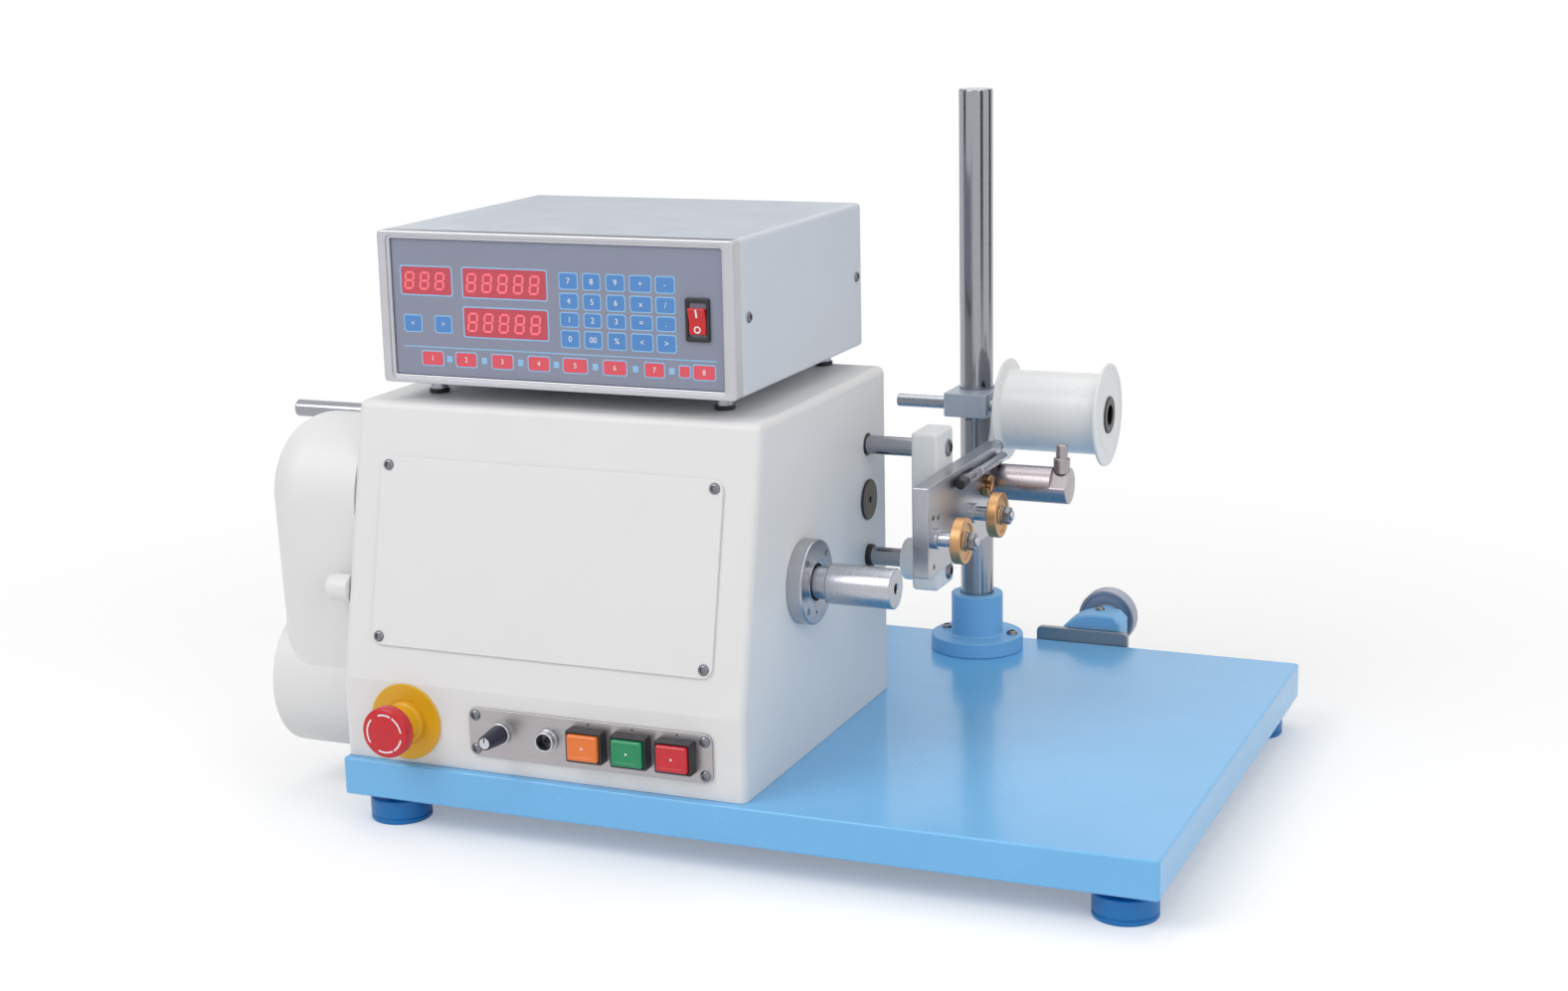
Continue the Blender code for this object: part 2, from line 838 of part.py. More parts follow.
def build_switch_plate():
    loop = rounded_rectangle(switch_plate_left, switch_plate_low, switch_plate_length,
                             switch_plate_height, switch_plate_corner_radius)
    centre_y = switch_face_y + switch_plate_thickness * half_share
    plate = outline("switch_plate", [loop], switch_plate_thickness, (0, centre_y, 0), "xz",
                    (steel, "metal"))
    front = switch_face_y - cut_overrun
    through = switch_plate_thickness + 2 * cut_overrun
    cut(plate,
        cylinder("knob_hole", knob_shaft_radius + fit_gap, through,
                 (speed_knob_x, front, switch_height), "y", sides=small_sides),
        cylinder("socket_hole", socket_barrel_radius + fit_gap, through,
                 (pedal_socket_x, front, switch_height), "y", sides=small_sides))
    half_width = bezel_barrel_width * half_share + fit_gap
    half_height = bezel_barrel_height * half_share + fit_gap
    for index in range(3):
        x = first_button_x + index * button_pitch
        cut(plate, box("button_hole", (x - half_width, front, switch_height - half_height),
                       (x + half_width, front + through, switch_height + half_height)))
    for x in (switch_plate_left + switch_screw_inset,
              switch_plate_left + switch_plate_length - switch_screw_inset):
        for z in (switch_plate_low + switch_screw_inset,
                  switch_plate_low + switch_plate_height - switch_screw_inset):
            join(plate, screw_head((x, switch_face_y, z), "-y"))


def build_switches():
    seat = switch_face_y - fit_gap
    knob_axis = axis_point("speed_knob_axis", (speed_knob_x, seat, switch_height), origin)
    profile = [(0, -knob_shaft_length), (knob_shaft_radius, -knob_shaft_length),
               (knob_shaft_radius, 0), (knob_skirt_radius, 0),
               (knob_skirt_radius, knob_skirt_length), (knob_base_radius, knob_skirt_length),
               (knob_tip_radius, knob_length - knob_edge),
               (knob_tip_radius - knob_edge, knob_length), (0, knob_length)]
    turned("speed_knob", profile, (0, 0, 0), "-y", (black, "plastic"), knob_axis, small_sides)

    floor = -socket_barrel_length
    profile = [(0, floor), (socket_barrel_radius, floor), (socket_barrel_radius, 0),
               (socket_radius, 0), (socket_radius, socket_proud - socket_edge),
               (socket_radius - socket_edge, socket_proud), (socket_bore_radius, socket_proud),
               (socket_bore_radius, floor + socket_floor), (0, floor + socket_floor)]
    turned("pedal_socket", profile, (pedal_socket_x, seat, switch_height), "-y",
           (dark_steel, "metal"), sides=small_sides)

    colours = (("forward_button", (0.90, 0.30, 0.05)), ("start_button", (0.05, 0.45, 0.15)),
               ("stop_button", (0.75, 0.03, 0.05)))
    for index, (name, colour) in enumerate(colours):
        x = first_button_x + index * button_pitch
        button_bezel(name + "_bezel", x, seat)
        face_y = seat - bezel_proud - button_proud
        slide = axis_point(name + "_axis", (x, face_y, switch_height), origin)
        half = Vector((button_width * half_share, 0, button_height * half_share))
        box(name, -half, half + Vector((0, button_depth, 0)), (colour, "plastic"), slide,
            radius=button_edge_radius)


def button_bezel(name, x, seat):
    """One open box with a flange that rests on the switch plate."""
    def span(width, height, front, rear):
        return ((x - width * half_share, front, switch_height - height * half_share),
                (x + width * half_share, rear, switch_height + height * half_share))
    bezel = box(name, *span(bezel_width, bezel_height, seat - bezel_proud, seat),
                (black, "plastic"), radius=bezel_edge_radius, segments=1)
    join(bezel, box("bezel_barrel", *span(bezel_barrel_width, bezel_barrel_height,
                                          seat - cut_overrun, seat + bezel_barrel_length)))
    cut(bezel, box("bezel_well", *span(button_width + 2 * fit_gap, button_height + 2 * fit_gap,
                                       seat - bezel_proud - cut_overrun,
                                       seat + bezel_barrel_length - bezel_floor)))


def build_estop():
    disc_y = housing_front - fit_gap
    barrel_end = -estop_barrel_length
    collar_top = estop_disc_thickness + estop_collar_length
    profile = [(0, barrel_end), (estop_barrel_radius, barrel_end), (estop_barrel_radius, 0),
               (estop_disc_radius, 0), (estop_disc_radius, estop_disc_thickness),
               (estop_collar_base_radius, estop_disc_thickness),
               (estop_collar_radius, collar_top), (estop_bore_radius, collar_top),
               (estop_bore_radius, barrel_end + estop_barrel_floor),
               (0, barrel_end + estop_barrel_floor)]
    turned("estop_base", profile, (estop_x, disc_y, estop_z), "-y", ((0.90, 0.50, 0.02), "plastic"))
    head_axis = axis_point("estop_head_axis", (estop_x, disc_y, estop_z), origin)
    stem_radius = estop_bore_radius - fit_gap
    head_low = collar_top + estop_head_gap
    head_high = head_low + estop_head_thickness
    profile = [(0, head_low - estop_stem_length), (stem_radius, head_low - estop_stem_length),
               (stem_radius, head_low), (estop_head_radius, head_low),
               (estop_head_radius, head_high - estop_head_edge),
               (estop_head_radius - estop_head_edge * estop_head_edge_share,
                head_high - estop_head_edge * estop_head_edge_share),
               (estop_head_radius - estop_head_edge, head_high),
               (0, head_high + estop_head_crown)]
    turned("estop_head", profile, (0, 0, 0), "-y", ((0.72, 0.01, 0.02), "plastic"), head_axis)


def build_control_box():
    box_right = box_left + box_length
    box_top = box_low + box_height
    shell_front = box_front + frame_depth + fit_gap
    shell = box("control_box", (box_left, shell_front, box_low), (box_right, box_rear, box_top),
                (cream, "paint"))
    form = bmesh.new()
    form.from_mesh(shell.data)
    front_faces = [face for face in form.faces if face.normal.y < -cos(sharp_angle)]
    bmesh.ops.delete(form, geom=front_faces, context="FACES")
    form.to_mesh(shell.data)
    form.free()
    bevel(shell, box_edge_radius, segments=2)
    sheet = shell.modifiers.new("Sheet", "SOLIDIFY")
    sheet.thickness = box_wall
    sheet.offset = -1
    sheet.use_even_offset = True

    outer = rounded_rectangle(box_left, box_low, box_length, box_height, box_edge_radius, 3)
    inner_length = box_length - 2 * frame_side_width
    inner_height = box_height - 2 * frame_rail_width
    inner_left = box_left + frame_side_width
    inner_low = box_low + frame_rail_width
    inner = [(inner_left, inner_low), (inner_left + inner_length, inner_low),
             (inner_left + inner_length, inner_low + inner_height),
             (inner_left, inner_low + inner_height)]
    frame_y = box_front + frame_depth * half_share
    frame = outline("control_box_frame", [outer, inner], frame_depth, (0, frame_y, 0), "xz",
                    (steel, "metal"))
    bevel(frame, frame_edge_radius, segments=1, angle=radians(60))

    panel_y = box_front + panel_setback
    loop = rounded_rectangle(inner_left + fit_gap, inner_low + fit_gap,
                             inner_length - 2 * fit_gap, inner_height - 2 * fit_gap,
                             2 * frame_edge_radius, 2)
    panel = outline("control_panel", [loop], panel_thickness,
                    (0, panel_y + panel_thickness * half_share, 0), "xz",
                    ((0.45, 0.45, 0.44), "plastic"))
    switch_z = box_low + power_switch_rise

    def span(width, height, front, rear):
        return ((power_switch_x - width * half_share, front, switch_z - height * half_share),
                (power_switch_x + width * half_share, rear, switch_z + height * half_share))
    cut(panel, box("power_switch_hole", *span(power_barrel_width + 2 * fit_gap,
                                              power_barrel_height + 2 * fit_gap,
                                              panel_y - cut_overrun,
                                              panel_y + panel_thickness + cut_overrun)))
    bezel_y = panel_y - fit_gap
    bezel = box("power_switch_bezel", *span(power_bezel_width, power_bezel_height,
                                            bezel_y - power_bezel_proud, bezel_y),
                (black, "plastic"))
    join(bezel, box("power_barrel", *span(power_barrel_width, power_barrel_height,
                                          bezel_y - power_bezel_proud * half_share,
                                          bezel_y + power_barrel_length)))
    cut(bezel, box("rocker_window", *span(rocker_window_width, rocker_window_height,
                                          bezel_y - power_bezel_proud - cut_overrun,
                                          bezel_y + power_barrel_length - power_barrel_floor)))
    pivot_y = bezel_y - power_bezel_proud + rocker_pivot_depth
    pivot = axis_point("power_rocker_axis", (power_switch_x, pivot_y, switch_z), origin,
                       (rocker_tilt, 0, 0))
    half_height = rocker_height * half_share
    crown = rocker_pivot_depth + rocker_crown
    back = rocker_depth - rocker_pivot_depth
    side = [(-crown, half_height), (-rocker_pivot_depth, 0), (-crown, -half_height),
            (back, -half_height * half_share), (back, half_height * half_share)]
    outline("power_rocker", [side], rocker_width, (0, 0, 0), "yz", ((0.75, 0.02, 0.02), "plastic"),
            pivot)

    # The feet and the side screws are one with the box that carries them
    foot_low = housing_top + 2 * fit_gap - box_low
    ring_top = foot_low + box_foot_ring_height
    profile = [(0, foot_low), (box_foot_ring_radius, foot_low), (box_foot_ring_radius, ring_top),
               (box_foot_radius, ring_top), (box_foot_radius, box_wall * half_share),
               (0, box_wall * half_share)]
    for x in (box_left + box_foot_left_inset, box_right - box_foot_right_inset):
        for y in (box_front + box_foot_front, box_rear - box_foot_rear):
            join(shell, turned("box_foot", profile, (x, y, box_low), "z", sides=small_sides))
    for y in (shell_front + side_screw_front, box_rear - side_screw_rear):
        join(shell, screw_head((box_right, y, switch_z), "x"),
             screw_head((box_left, y, switch_z), "-x"))


def build_spindle():
    cap_low = housing_length + fit_gap
    inner = cap_low - spindle_barrel_length
    seat = spindle_bearing_radius + fit_gap
    front_seat = housing_length - spindle_seat_wall
    rear_seat = inner + spindle_bearing_width
    profile = [(spindle_barrel_radius, inner), (spindle_barrel_radius, cap_low),
               (spindle_cap_radius, cap_low), (spindle_cap_radius, cap_face_x - spindle_cap_edge),
               (spindle_cap_radius - spindle_cap_edge, cap_face_x),
               (spindle_cap_bore_radius, cap_face_x), (spindle_cap_bore_radius, front_seat),
               (seat, front_seat), (seat, front_seat - spindle_bearing_width - 2 * fit_gap),
               (spindle_bore_radius, front_seat - spindle_bearing_width - 2 * fit_gap),
               (spindle_bore_radius, rear_seat + fit_gap), (seat, rear_seat + fit_gap),
               (seat, inner)]
    carrier = turned("spindle_housing", profile, (0, spindle_y, spindle_z), "x",
                     (steel, "metal"), sides=large_sides)
    for quarter in range(4):
        angle = (quarter + half_share) * quarter_turn
        y = spindle_y + spindle_cap_screw_circle * cos(angle)
        z = spindle_z + spindle_cap_screw_circle * sin(angle)
        cut(carrier, cylinder("cap_screw_seat", spindle_cap_screw_radius,
                              spindle_cap_screw_sink + cut_overrun,
                              (cap_face_x + cut_overrun, y, z), "-x", sides=tiny_sides))

    axis = axis_point("spindle_axis", (0, spindle_y, spindle_z), origin)
    spigot_end = nose_left + spindle_spigot_length
    profile = [(0, spindle_start()), (spindle_shaft_radius, spindle_start()),
               (spindle_shaft_radius, nose_left), (spindle_spigot_radius, nose_left),
               (spindle_spigot_radius, spigot_end), (0, spigot_end)]
    turned("spindle_shaft", profile, (0, 0, 0), "x", (steel, "metal"), axis)
    low = nose_left + fit_gap
    bore = spindle_spigot_radius + fit_gap
    edge = spindle_nose_edge
    mandrel_end = nose_right - mandrel_bore_length
    profile = [(bore, low), (spindle_nose_radius - edge, low), (spindle_nose_radius, low + edge),
               (spindle_nose_radius, nose_right - edge), (spindle_nose_radius - edge, nose_right),
               (mandrel_bore_radius, nose_right), (mandrel_bore_radius, mandrel_end),
               (0, mandrel_end), (0, spigot_end + fit_gap), (bore, spigot_end + fit_gap)]
    turned("spindle_nose", profile, (0, 0, 0), "x", (steel, "metal"), axis)
    bore = spindle_shaft_radius + fit_gap
    for name, left in (("front_bearing", front_seat - fit_gap - spindle_bearing_width),
                       ("rear_bearing", inner)):
        profile = [(bore, 0), (spindle_bearing_radius, 0),
                   (spindle_bearing_radius, spindle_bearing_width), (bore, spindle_bearing_width)]
        turned(name, profile, (left, spindle_y, spindle_z), "x", (steel, "metal"))


def boss_end():
    """Where the layshaft's bearing boss ends inside the housing."""
    return housing_wall + fit_gap + drive_plate_thickness + layshaft_boss_length


def spindle_start():
    """Left end of the spindle shaft, just left of its gear."""
    return boss_end() + gear_clearance - fit_gap


def gear_outline(teeth, module, start):
    """Points round a spur gear with straight-sided teeth; start is the first tooth's angle."""
    pitch_radius = teeth * module * half_share
    tip_radius = pitch_radius + module * tooth_addendum_share
    root_radius = pitch_radius - module * tooth_dedendum_share
    half_tooth = pi / teeth * half_share * tooth_backlash_share
    points = []
    for tooth in range(teeth):
        middle = start + tooth * full_turn / teeth
        for radius, angle in ((root_radius, middle - half_tooth * tooth_root_share),
                              (tip_radius, middle - half_tooth * tooth_tip_share),
                              (tip_radius, middle + half_tooth * tooth_tip_share),
                              (root_radius, middle + half_tooth * tooth_root_share)):
            points.append((radius * cos(angle), radius * sin(angle)))
    return points


def build_drive():
    rise = layshaft_z - spindle_z
    reach = drive_y - spindle_y
    module = 2 * hypot(rise, reach) / (gear_teeth + pinion_teeth)
    to_pinion = atan2(rise, reach)
    gear_x = boss_end() + gear_clearance
    spindle = bpy.data.objects["spindle_axis"]
    gear = outline("spindle_gear", [gear_outline(gear_teeth, module, to_pinion)], gear_width,
                   (gear_x + gear_width * half_share, 0, 0), "yz", (steel, "metal"), spindle)
    cut(gear, cylinder("gear_bore", spindle_shaft_radius + fit_gap, gear_width + 2 * cut_overrun,
                       (gear_x - cut_overrun, 0, 0), "x", parent=spindle, sides=round_sides))
    # A round recess leaves a hub and a rim on the side that faces the bearings
    rim = gear_teeth * module * half_share - module * tooth_dedendum_share - gear_rim_thickness
    recess_depth = gear_width - gear_web_thickness
    recess = turned("gear_recess", [(gear_hub_radius, 0), (rim, 0),
                                    (rim, recess_depth + cut_overrun),
                                    (gear_hub_radius, recess_depth + cut_overrun)],
                    (gear_x + gear_web_thickness, 0, 0), "x", parent=spindle)
    cut(gear, recess)

    layshaft_axis = axis_point("layshaft_axis", (0, drive_y, layshaft_z), origin)
    start = to_pinion + pi + pi / pinion_teeth
    pinion = outline("layshaft", [gear_outline(pinion_teeth, module, start)], gear_width,
                     (gear_x + gear_width * half_share, 0, 0), "yz", (steel, "metal"),
                     layshaft_axis)
    shaft_left = -(pulley_left + fit_gap)
    shaft_right = gear_x + gear_width + cut_overrun
    join(pinion, cylinder("layshaft_bar", layshaft_radius, shaft_right - shaft_left,
                          (shaft_left, 0, 0), "x", parent=layshaft_axis, sides=round_sides))
    turned("layshaft_pulley", pulley_profile(layshaft_pulley_radius, layshaft_radius + fit_gap),
           (-pulley_left, 0, 0), "x", (steel, "metal"), layshaft_axis)

    motor_axis = axis_point("motor_axis", (0, drive_y, motor_z), origin)
    shaft_end = housing_wall + 2 * fit_gap + drive_plate_thickness + motor_shaft_hold
    profile = pulley_profile(motor_pulley_radius, 0)[:-1]
    profile += [(motor_shaft_radius, pulley_width), (motor_shaft_radius, pulley_left + shaft_end),
                (0, pulley_left + shaft_end)]
    turned("motor_pulley", profile, (-pulley_left, 0, 0), "x", (steel, "metal"), motor_axis,
           small_sides)

    low = (drive_y, motor_z)
    high = (drive_y, layshaft_z)
    inner, outer = [
        belt_line(low, motor_pulley_radius + rise, high, layshaft_pulley_radius + rise,
                  belt_arc_steps, 1 / cos(quarter_turn / belt_arc_steps))
        for rise in (fit_gap, fit_gap + belt_thickness)]
    belt_width = pulley_width - 2 * pulley_flange - 2 * fit_gap
    outline("drive_belt", [outer, inner], belt_width,
            (-pulley_left + pulley_width * half_share, 0, 0), "yz", (black, "rubber"))
    build_drive_plate()
    build_drive_motor()


def pulley_profile(radius, bore):
    """Section of a flanged pulley, from its left face."""
    rim = radius + pulley_flange_rise
    return [(bore, 0), (rim, 0), (rim, pulley_flange), (radius, pulley_flange),
            (radius, pulley_width - pulley_flange), (rim, pulley_width - pulley_flange),
            (rim, pulley_width), (bore, pulley_width)]


def build_drive_plate():
    left = housing_wall + fit_gap
    right = left + drive_plate_thickness
    half_width = drive_plate_width * half_share
    low = 2 * fit_gap
    top = layshaft_z + drive_plate_rise
    plate = box("drive_plate", (left, drive_y - half_width, low), (right, drive_y + half_width, top),
                (steel, "metal"))
    join(plate, box("drive_plate_foot", (right - cut_overrun, drive_y - half_width, low),
                    (right + drive_plate_foot, drive_y + half_width,
                     motor_z - motor_size * half_share - fit_gap)),
         cylinder("layshaft_boss", layshaft_boss_radius, boss_end() - right + cut_overrun,
                  (right - cut_overrun, drive_y, layshaft_z), "x"))
    # The layshaft runs in the boss at both ends and clears it between them
    bore = layshaft_radius + fit_gap
    land = layshaft_land
    profile = [(0, left - cut_overrun), (bore, left - cut_overrun), (bore, left + land),
               (layshaft_bore_radius, left + land), (layshaft_bore_radius, boss_end() - land),
               (bore, boss_end() - land), (bore, boss_end() + cut_overrun),
               (0, boss_end() + cut_overrun)]
    cut(plate, turned("layshaft_bore", profile, (0, drive_y, layshaft_z), "x"),
        cylinder("motor_shaft_hole", motor_shaft_radius + fit_gap,
                 drive_plate_thickness + 2 * cut_overrun, (left - cut_overrun, drive_y, motor_z),
                 "x", sides=small_sides))


def build_drive_motor():
    face = housing_wall + 2 * fit_gap + drive_plate_thickness
    half = motor_size * half_share
    motor = box("drive_motor", (face, drive_y - half, motor_z - half),
                (face + motor_length, drive_y + half, motor_z + half), (dark_steel, "metal"),
                radius=motor_edge_radius, segments=1)
    cap_half = motor_cap_size * half_share
    join(motor, box("motor_cap", (face + motor_length - cut_overrun, drive_y - cap_half,
                                  motor_z - cap_half),
                    (face + motor_length + motor_cap_length, drive_y + cap_half,
                     motor_z + cap_half)))
    cut(motor, cylinder("motor_bore", motor_shaft_radius + fit_gap,
                        motor_shaft_hold + 2 * cut_overrun, (face - cut_overrun, drive_y, motor_z),
                        "x", sides=small_sides))


def guard_form(name, inset, look=None):
    """The guard's solid shape, drawn in from its outside by the inset."""
    left = -guard_width + inset
    right = -fit_gap if look else cut_overrun
    low = (drive_y, motor_z)
    high = (drive_y, layshaft_z)
    loop = belt_line(low, guard_low_radius - inset, high, guard_top_radius - inset, guard_arc_steps)
    body = outline(name, [loop], right - left, ((left + right) * half_share, 0, 0), "yz", look)
    # Only the outer left edge is rounded, so the bevel weight is set on that edge alone
    weights = body.data.attributes.new("bevel_weight_edge", "FLOAT", "EDGE")
    half_width = (right - left) * half_share
    for edge in body.data.edges:
        ends = [body.data.vertices[index].co.z for index in edge.vertices]
        weights.data[edge.index].value = 1 if max(ends) < -half_width + weld_distance else 0
    rounding = body.modifiers.new("Rounded edge", "BEVEL")
    rounding.limit_method = "WEIGHT"
    rounding.width = guard_edge_radius - inset
    rounding.segments = guard_edge_steps
    drum_radius = guard_drum_radius - inset
    drum = turned(name + "_drum", [(0, left), (drum_radius - guard_drum_edge, left),
                                   (drum_radius, left + guard_drum_edge), (drum_radius, right),
                                   (0, right)], (0, drive_y, motor_z), "x", sides=large_sides)
    return join(body, drum)


def build_belt_guard():
    guard = guard_form("belt_guard", 0, (cream, "paint"))
    profile = [(0, fit_gap), (lug_radius, fit_gap), (lug_radius, lug_length - lug_edge),
               (lug_radius - lug_edge, lug_length), (0, lug_length)]
    join(guard, box("lug_web", (-lug_length * half_share, lug_y, lug_z - lug_web * half_share),
                    (-fit_gap, drive_y - guard_low_radius + guard_wall,
                     lug_z + lug_web * half_share)))
    join(guard, turned("lug", profile, (0, lug_y, lug_z), "-x", sides=small_sides))
    join(guard, screw_head((-lug_length, lug_y, lug_z), "-x"))
    cut(guard, guard_form("guard_hollow", guard_wall))


def build_traverse():
    for name, place_x, direction, z, proud in (
            ("upper_rod_bush", housing_length, "-x", upper_rod_z, upper_bush_proud),
            ("lower_rod_bush", housing_length, "-x", lower_rod_z, lower_bush_proud)):
        inside = housing_wall + fit_gap
        flange_end = inside + bush_flange_thickness
        profile = [(rod_radius + fit_gap, -proud), (bush_radius, -proud), (bush_radius, inside),
                   (bush_flange_radius, inside), (bush_flange_radius, flange_end),
                   (bush_radius, flange_end), (bush_radius, bush_length),
                   (rod_radius + fit_gap, bush_length)]
        turned(name, profile, (place_x, rod_y, z), direction, (steel, "metal"), sides=small_sides)

    inside = housing_length - screw_cap_barrel
    journal_end = inside + screw_journal_length
    face = housing_length + fit_gap + screw_cap_proud
    profile = [(screw_journal_radius + fit_gap, inside), (screw_cap_barrel_radius, inside),
               (screw_cap_barrel_radius, housing_length + fit_gap),
               (screw_cap_radius, housing_length + fit_gap), (screw_cap_radius, face),
               (screw_cap_dimple_radius, face), (screw_cap_dimple_radius, face - screw_cap_dimple),
               (0, face - screw_cap_dimple), (0, journal_end + fit_gap),
               (screw_journal_radius + fit_gap, journal_end + fit_gap)]
    turned("leadscrew_cap", profile, (0, rod_y, screw_z), "x", (cream, "metal"),
           sides=round_sides)

    half = traverse_motor_size * half_share
    motor_left = housing_wall + fit_gap
    motor_right = motor_left + traverse_motor_length
    motor = box("traverse_motor", (motor_left, rod_y - half, screw_z - half),
                (motor_right, rod_y + half, screw_z + half), (dark_steel, "metal"),
                radius=traverse_motor_edge, segments=1)
    join(motor, cylinder("traverse_motor_boss", traverse_motor_boss_radius,
                         traverse_motor_boss + cut_overrun,
                         (motor_right - cut_overrun, rod_y, screw_z), "x"))
    screw_axis = axis_point("leadscrew_axis", (0, rod_y, screw_z), origin)
    screw_left = motor_right + traverse_motor_boss + fit_gap
    profile = [(0, screw_left), (screw_radius, screw_left), (screw_radius, inside - fit_gap),
               (screw_journal_radius, inside - fit_gap), (screw_journal_radius, journal_end),
               (0, journal_end)]
    turned("leadscrew", profile, (0, 0, 0), "x", (steel, "metal"), screw_axis, small_sides)

    carriage = axis_point("traverse_carriage", (0, rod_y, 0), origin)
    nut = box("traverse_nut", (nut_left, -nut_half_depth, lower_rod_z - rod_radius - nut_margin),
              (nut_left + nut_thickness, nut_half_depth, upper_rod_z + rod_radius + nut_margin),
              (brass, "metal"), carriage)
    hole_length = nut_thickness + 2 * cut_overrun
    for z, radius in ((lower_rod_z, rod_radius), (screw_z, screw_radius), (upper_rod_z, rod_radius)):
        cut(nut, cylinder("nut_hole", radius + fit_gap, hole_length,
                          (nut_left - cut_overrun, 0, z), "x", parent=carriage, sides=small_sides))
    rod_end = block_left + block_thickness - rod_block_wall
    for name, left, z in (("upper_rod", rod_left_end, upper_rod_z),
                          ("lower_rod", lower_rod_left, lower_rod_z)):
        profile = [(0, left), (rod_radius - rod_chamfer, left), (rod_radius, left + rod_chamfer),
                   (rod_radius, rod_end - rod_chamfer), (rod_radius - rod_chamfer, rod_end),
                   (0, rod_end)]
        turned(name, profile, (0, 0, z), "x", (steel, "metal"), carriage, small_sides)
    return carriage


def build_guide_head(carriage):
    block_low = lower_rod_z - block_low_margin
    block_top = upper_rod_z + block_top_margin
    block_right = block_left + block_thickness
    block = box("guide_block", (block_left, -block_half_depth, block_low),
                (block_right, block_half_depth, block_top), (nylon, "plastic"), carriage,
                radius=block_edge_radius)
    join(block, turned("block_boss", [(0, cut_overrun), (block_boss_radius, cut_overrun),
                                      (block_boss_radius, block_boss_edge - block_boss_length),
                                      (block_boss_radius - block_boss_edge, -block_boss_length),
                                      (0, -block_boss_length)],
                       (block_left, 0, lower_rod_z), "x", parent=carriage))
    hole_end = block_right - rod_block_wall + fit_gap
    hole_start = block_left - block_boss_length - cut_overrun
    for z in (lower_rod_z, upper_rod_z):
        cut(block, cylinder("rod_socket", rod_radius + fit_gap, hole_end - hole_start,
                            (hole_start, 0, z), "x", parent=carriage, sides=small_sides))
    for z in (upper_rod_z, lower_rod_z - block_screw_drop):
        join(block, screw_head((block_right, block_screw_shift, z), "x", carriage,
                               block_screw_radius, block_screw_height))

    front = plate_front - rod_y
    rear = plate_rear - rod_y
    plate = box("guide_plate", (plate_left, front, plate_low), (plate_right, rear, plate_top),
                (steel, "metal"), carriage, radius=plate_edge_radius, segments=1)
    cap_groove_radius = plate_cap_radius - plate_cap_groove
    profile = [(0, -cut_overrun), (cap_groove_radius, -cut_overrun),
               (cap_groove_radius, plate_cap_neck), (plate_cap_radius, plate_cap_neck),
               (plate_cap_radius, plate_cap_length - plate_cap_groove),
               (cap_groove_radius, plate_cap_length), (0, plate_cap_length)]
    join(plate, turned("plate_cap", profile, (plate_left + plate_thickness * half_share, rear,
                                              plate_top - plate_cap_radius), "y",
                       parent=carriage, sides=small_sides))
    for across, up in ((front + plate_hole_front, plate_low + plate_hole_low),
                       (front + plate_hole_front, plate_low + plate_hole_high),
                       (eye_y - rod_y - 2 * eye_radius - plate_hole_front,
                        plate_low + plate_hole_high)):
        cut(plate, cylinder("plate_hole", plate_hole_radius, plate_hole_depth + cut_overrun,
                            (plate_right + cut_overrun, across, up), "-x", parent=carriage,
                            sides=tiny_sides))
    for name, y in (("front_roller", front_roller_y), ("rear_roller", rear_roller_y)):
        join(plate, *roller_stud(y, carriage))
        build_roller(name, y, carriage)
    build_guide_trim(carriage)


def roller_left():
    """Left face of both rollers."""
    return plate_right + stud_ring_length + stud_spacer_length + fit_gap


def roller_stud(y, carriage):
    """The tools for a shouldered stud: its turned part and its hexagon nut."""
    shank = roller_bore_radius - fit_gap
    ring_end = plate_right + stud_ring_length
    spacer_end = ring_end + stud_spacer_length
    washer_start = roller_left() + roller_width + fit_gap
    washer_end = washer_start + stud_washer_length
    nut_end = washer_end + stud_nut_length
    profile = [(0, plate_right - cut_overrun), (stud_ring_radius, plate_right - cut_overrun),
               (stud_ring_radius, ring_end), (stud_spacer_radius, ring_end),
               (stud_spacer_radius, spacer_end), (shank, spacer_end), (shank, washer_start),
               (stud_washer_radius, washer_start), (stud_washer_radius, washer_end),
               (stud_tip_radius, washer_end), (stud_tip_radius, nut_end + stud_tip_length),
               (0, nut_end + stud_tip_length)]
    place = (0, y - rod_y, roller_z)
    stud = turned("roller_stud", profile, place, "x", parent=carriage, sides=small_sides)
    nut = cylinder("stud_nut", stud_nut_radius, stud_nut_length + fit_gap,
                   (washer_end - fit_gap, y - rod_y, roller_z), "x", parent=carriage,
                   sides=nut_sides)
    return stud, nut


def build_roller(name, y, carriage):
    axle = axis_point(name + "_axis", (0, y - rod_y, roller_z), carriage)
    left = roller_left()
    right = left + roller_width
    profile = [(roller_bore_radius, left), (roller_radius - roller_edge, left),
               (roller_radius, left + roller_edge), (roller_radius, right - roller_edge),
               (roller_radius - roller_edge, right), (roller_recess_radius, right),
               (roller_recess_radius, right - roller_recess),
               (roller_hub_radius, right - roller_recess), (roller_hub_radius, right),
               (roller_bore_radius, right)]
    turned(name, profile, (0, 0, 0), "x", (brass, "metal"), axle)


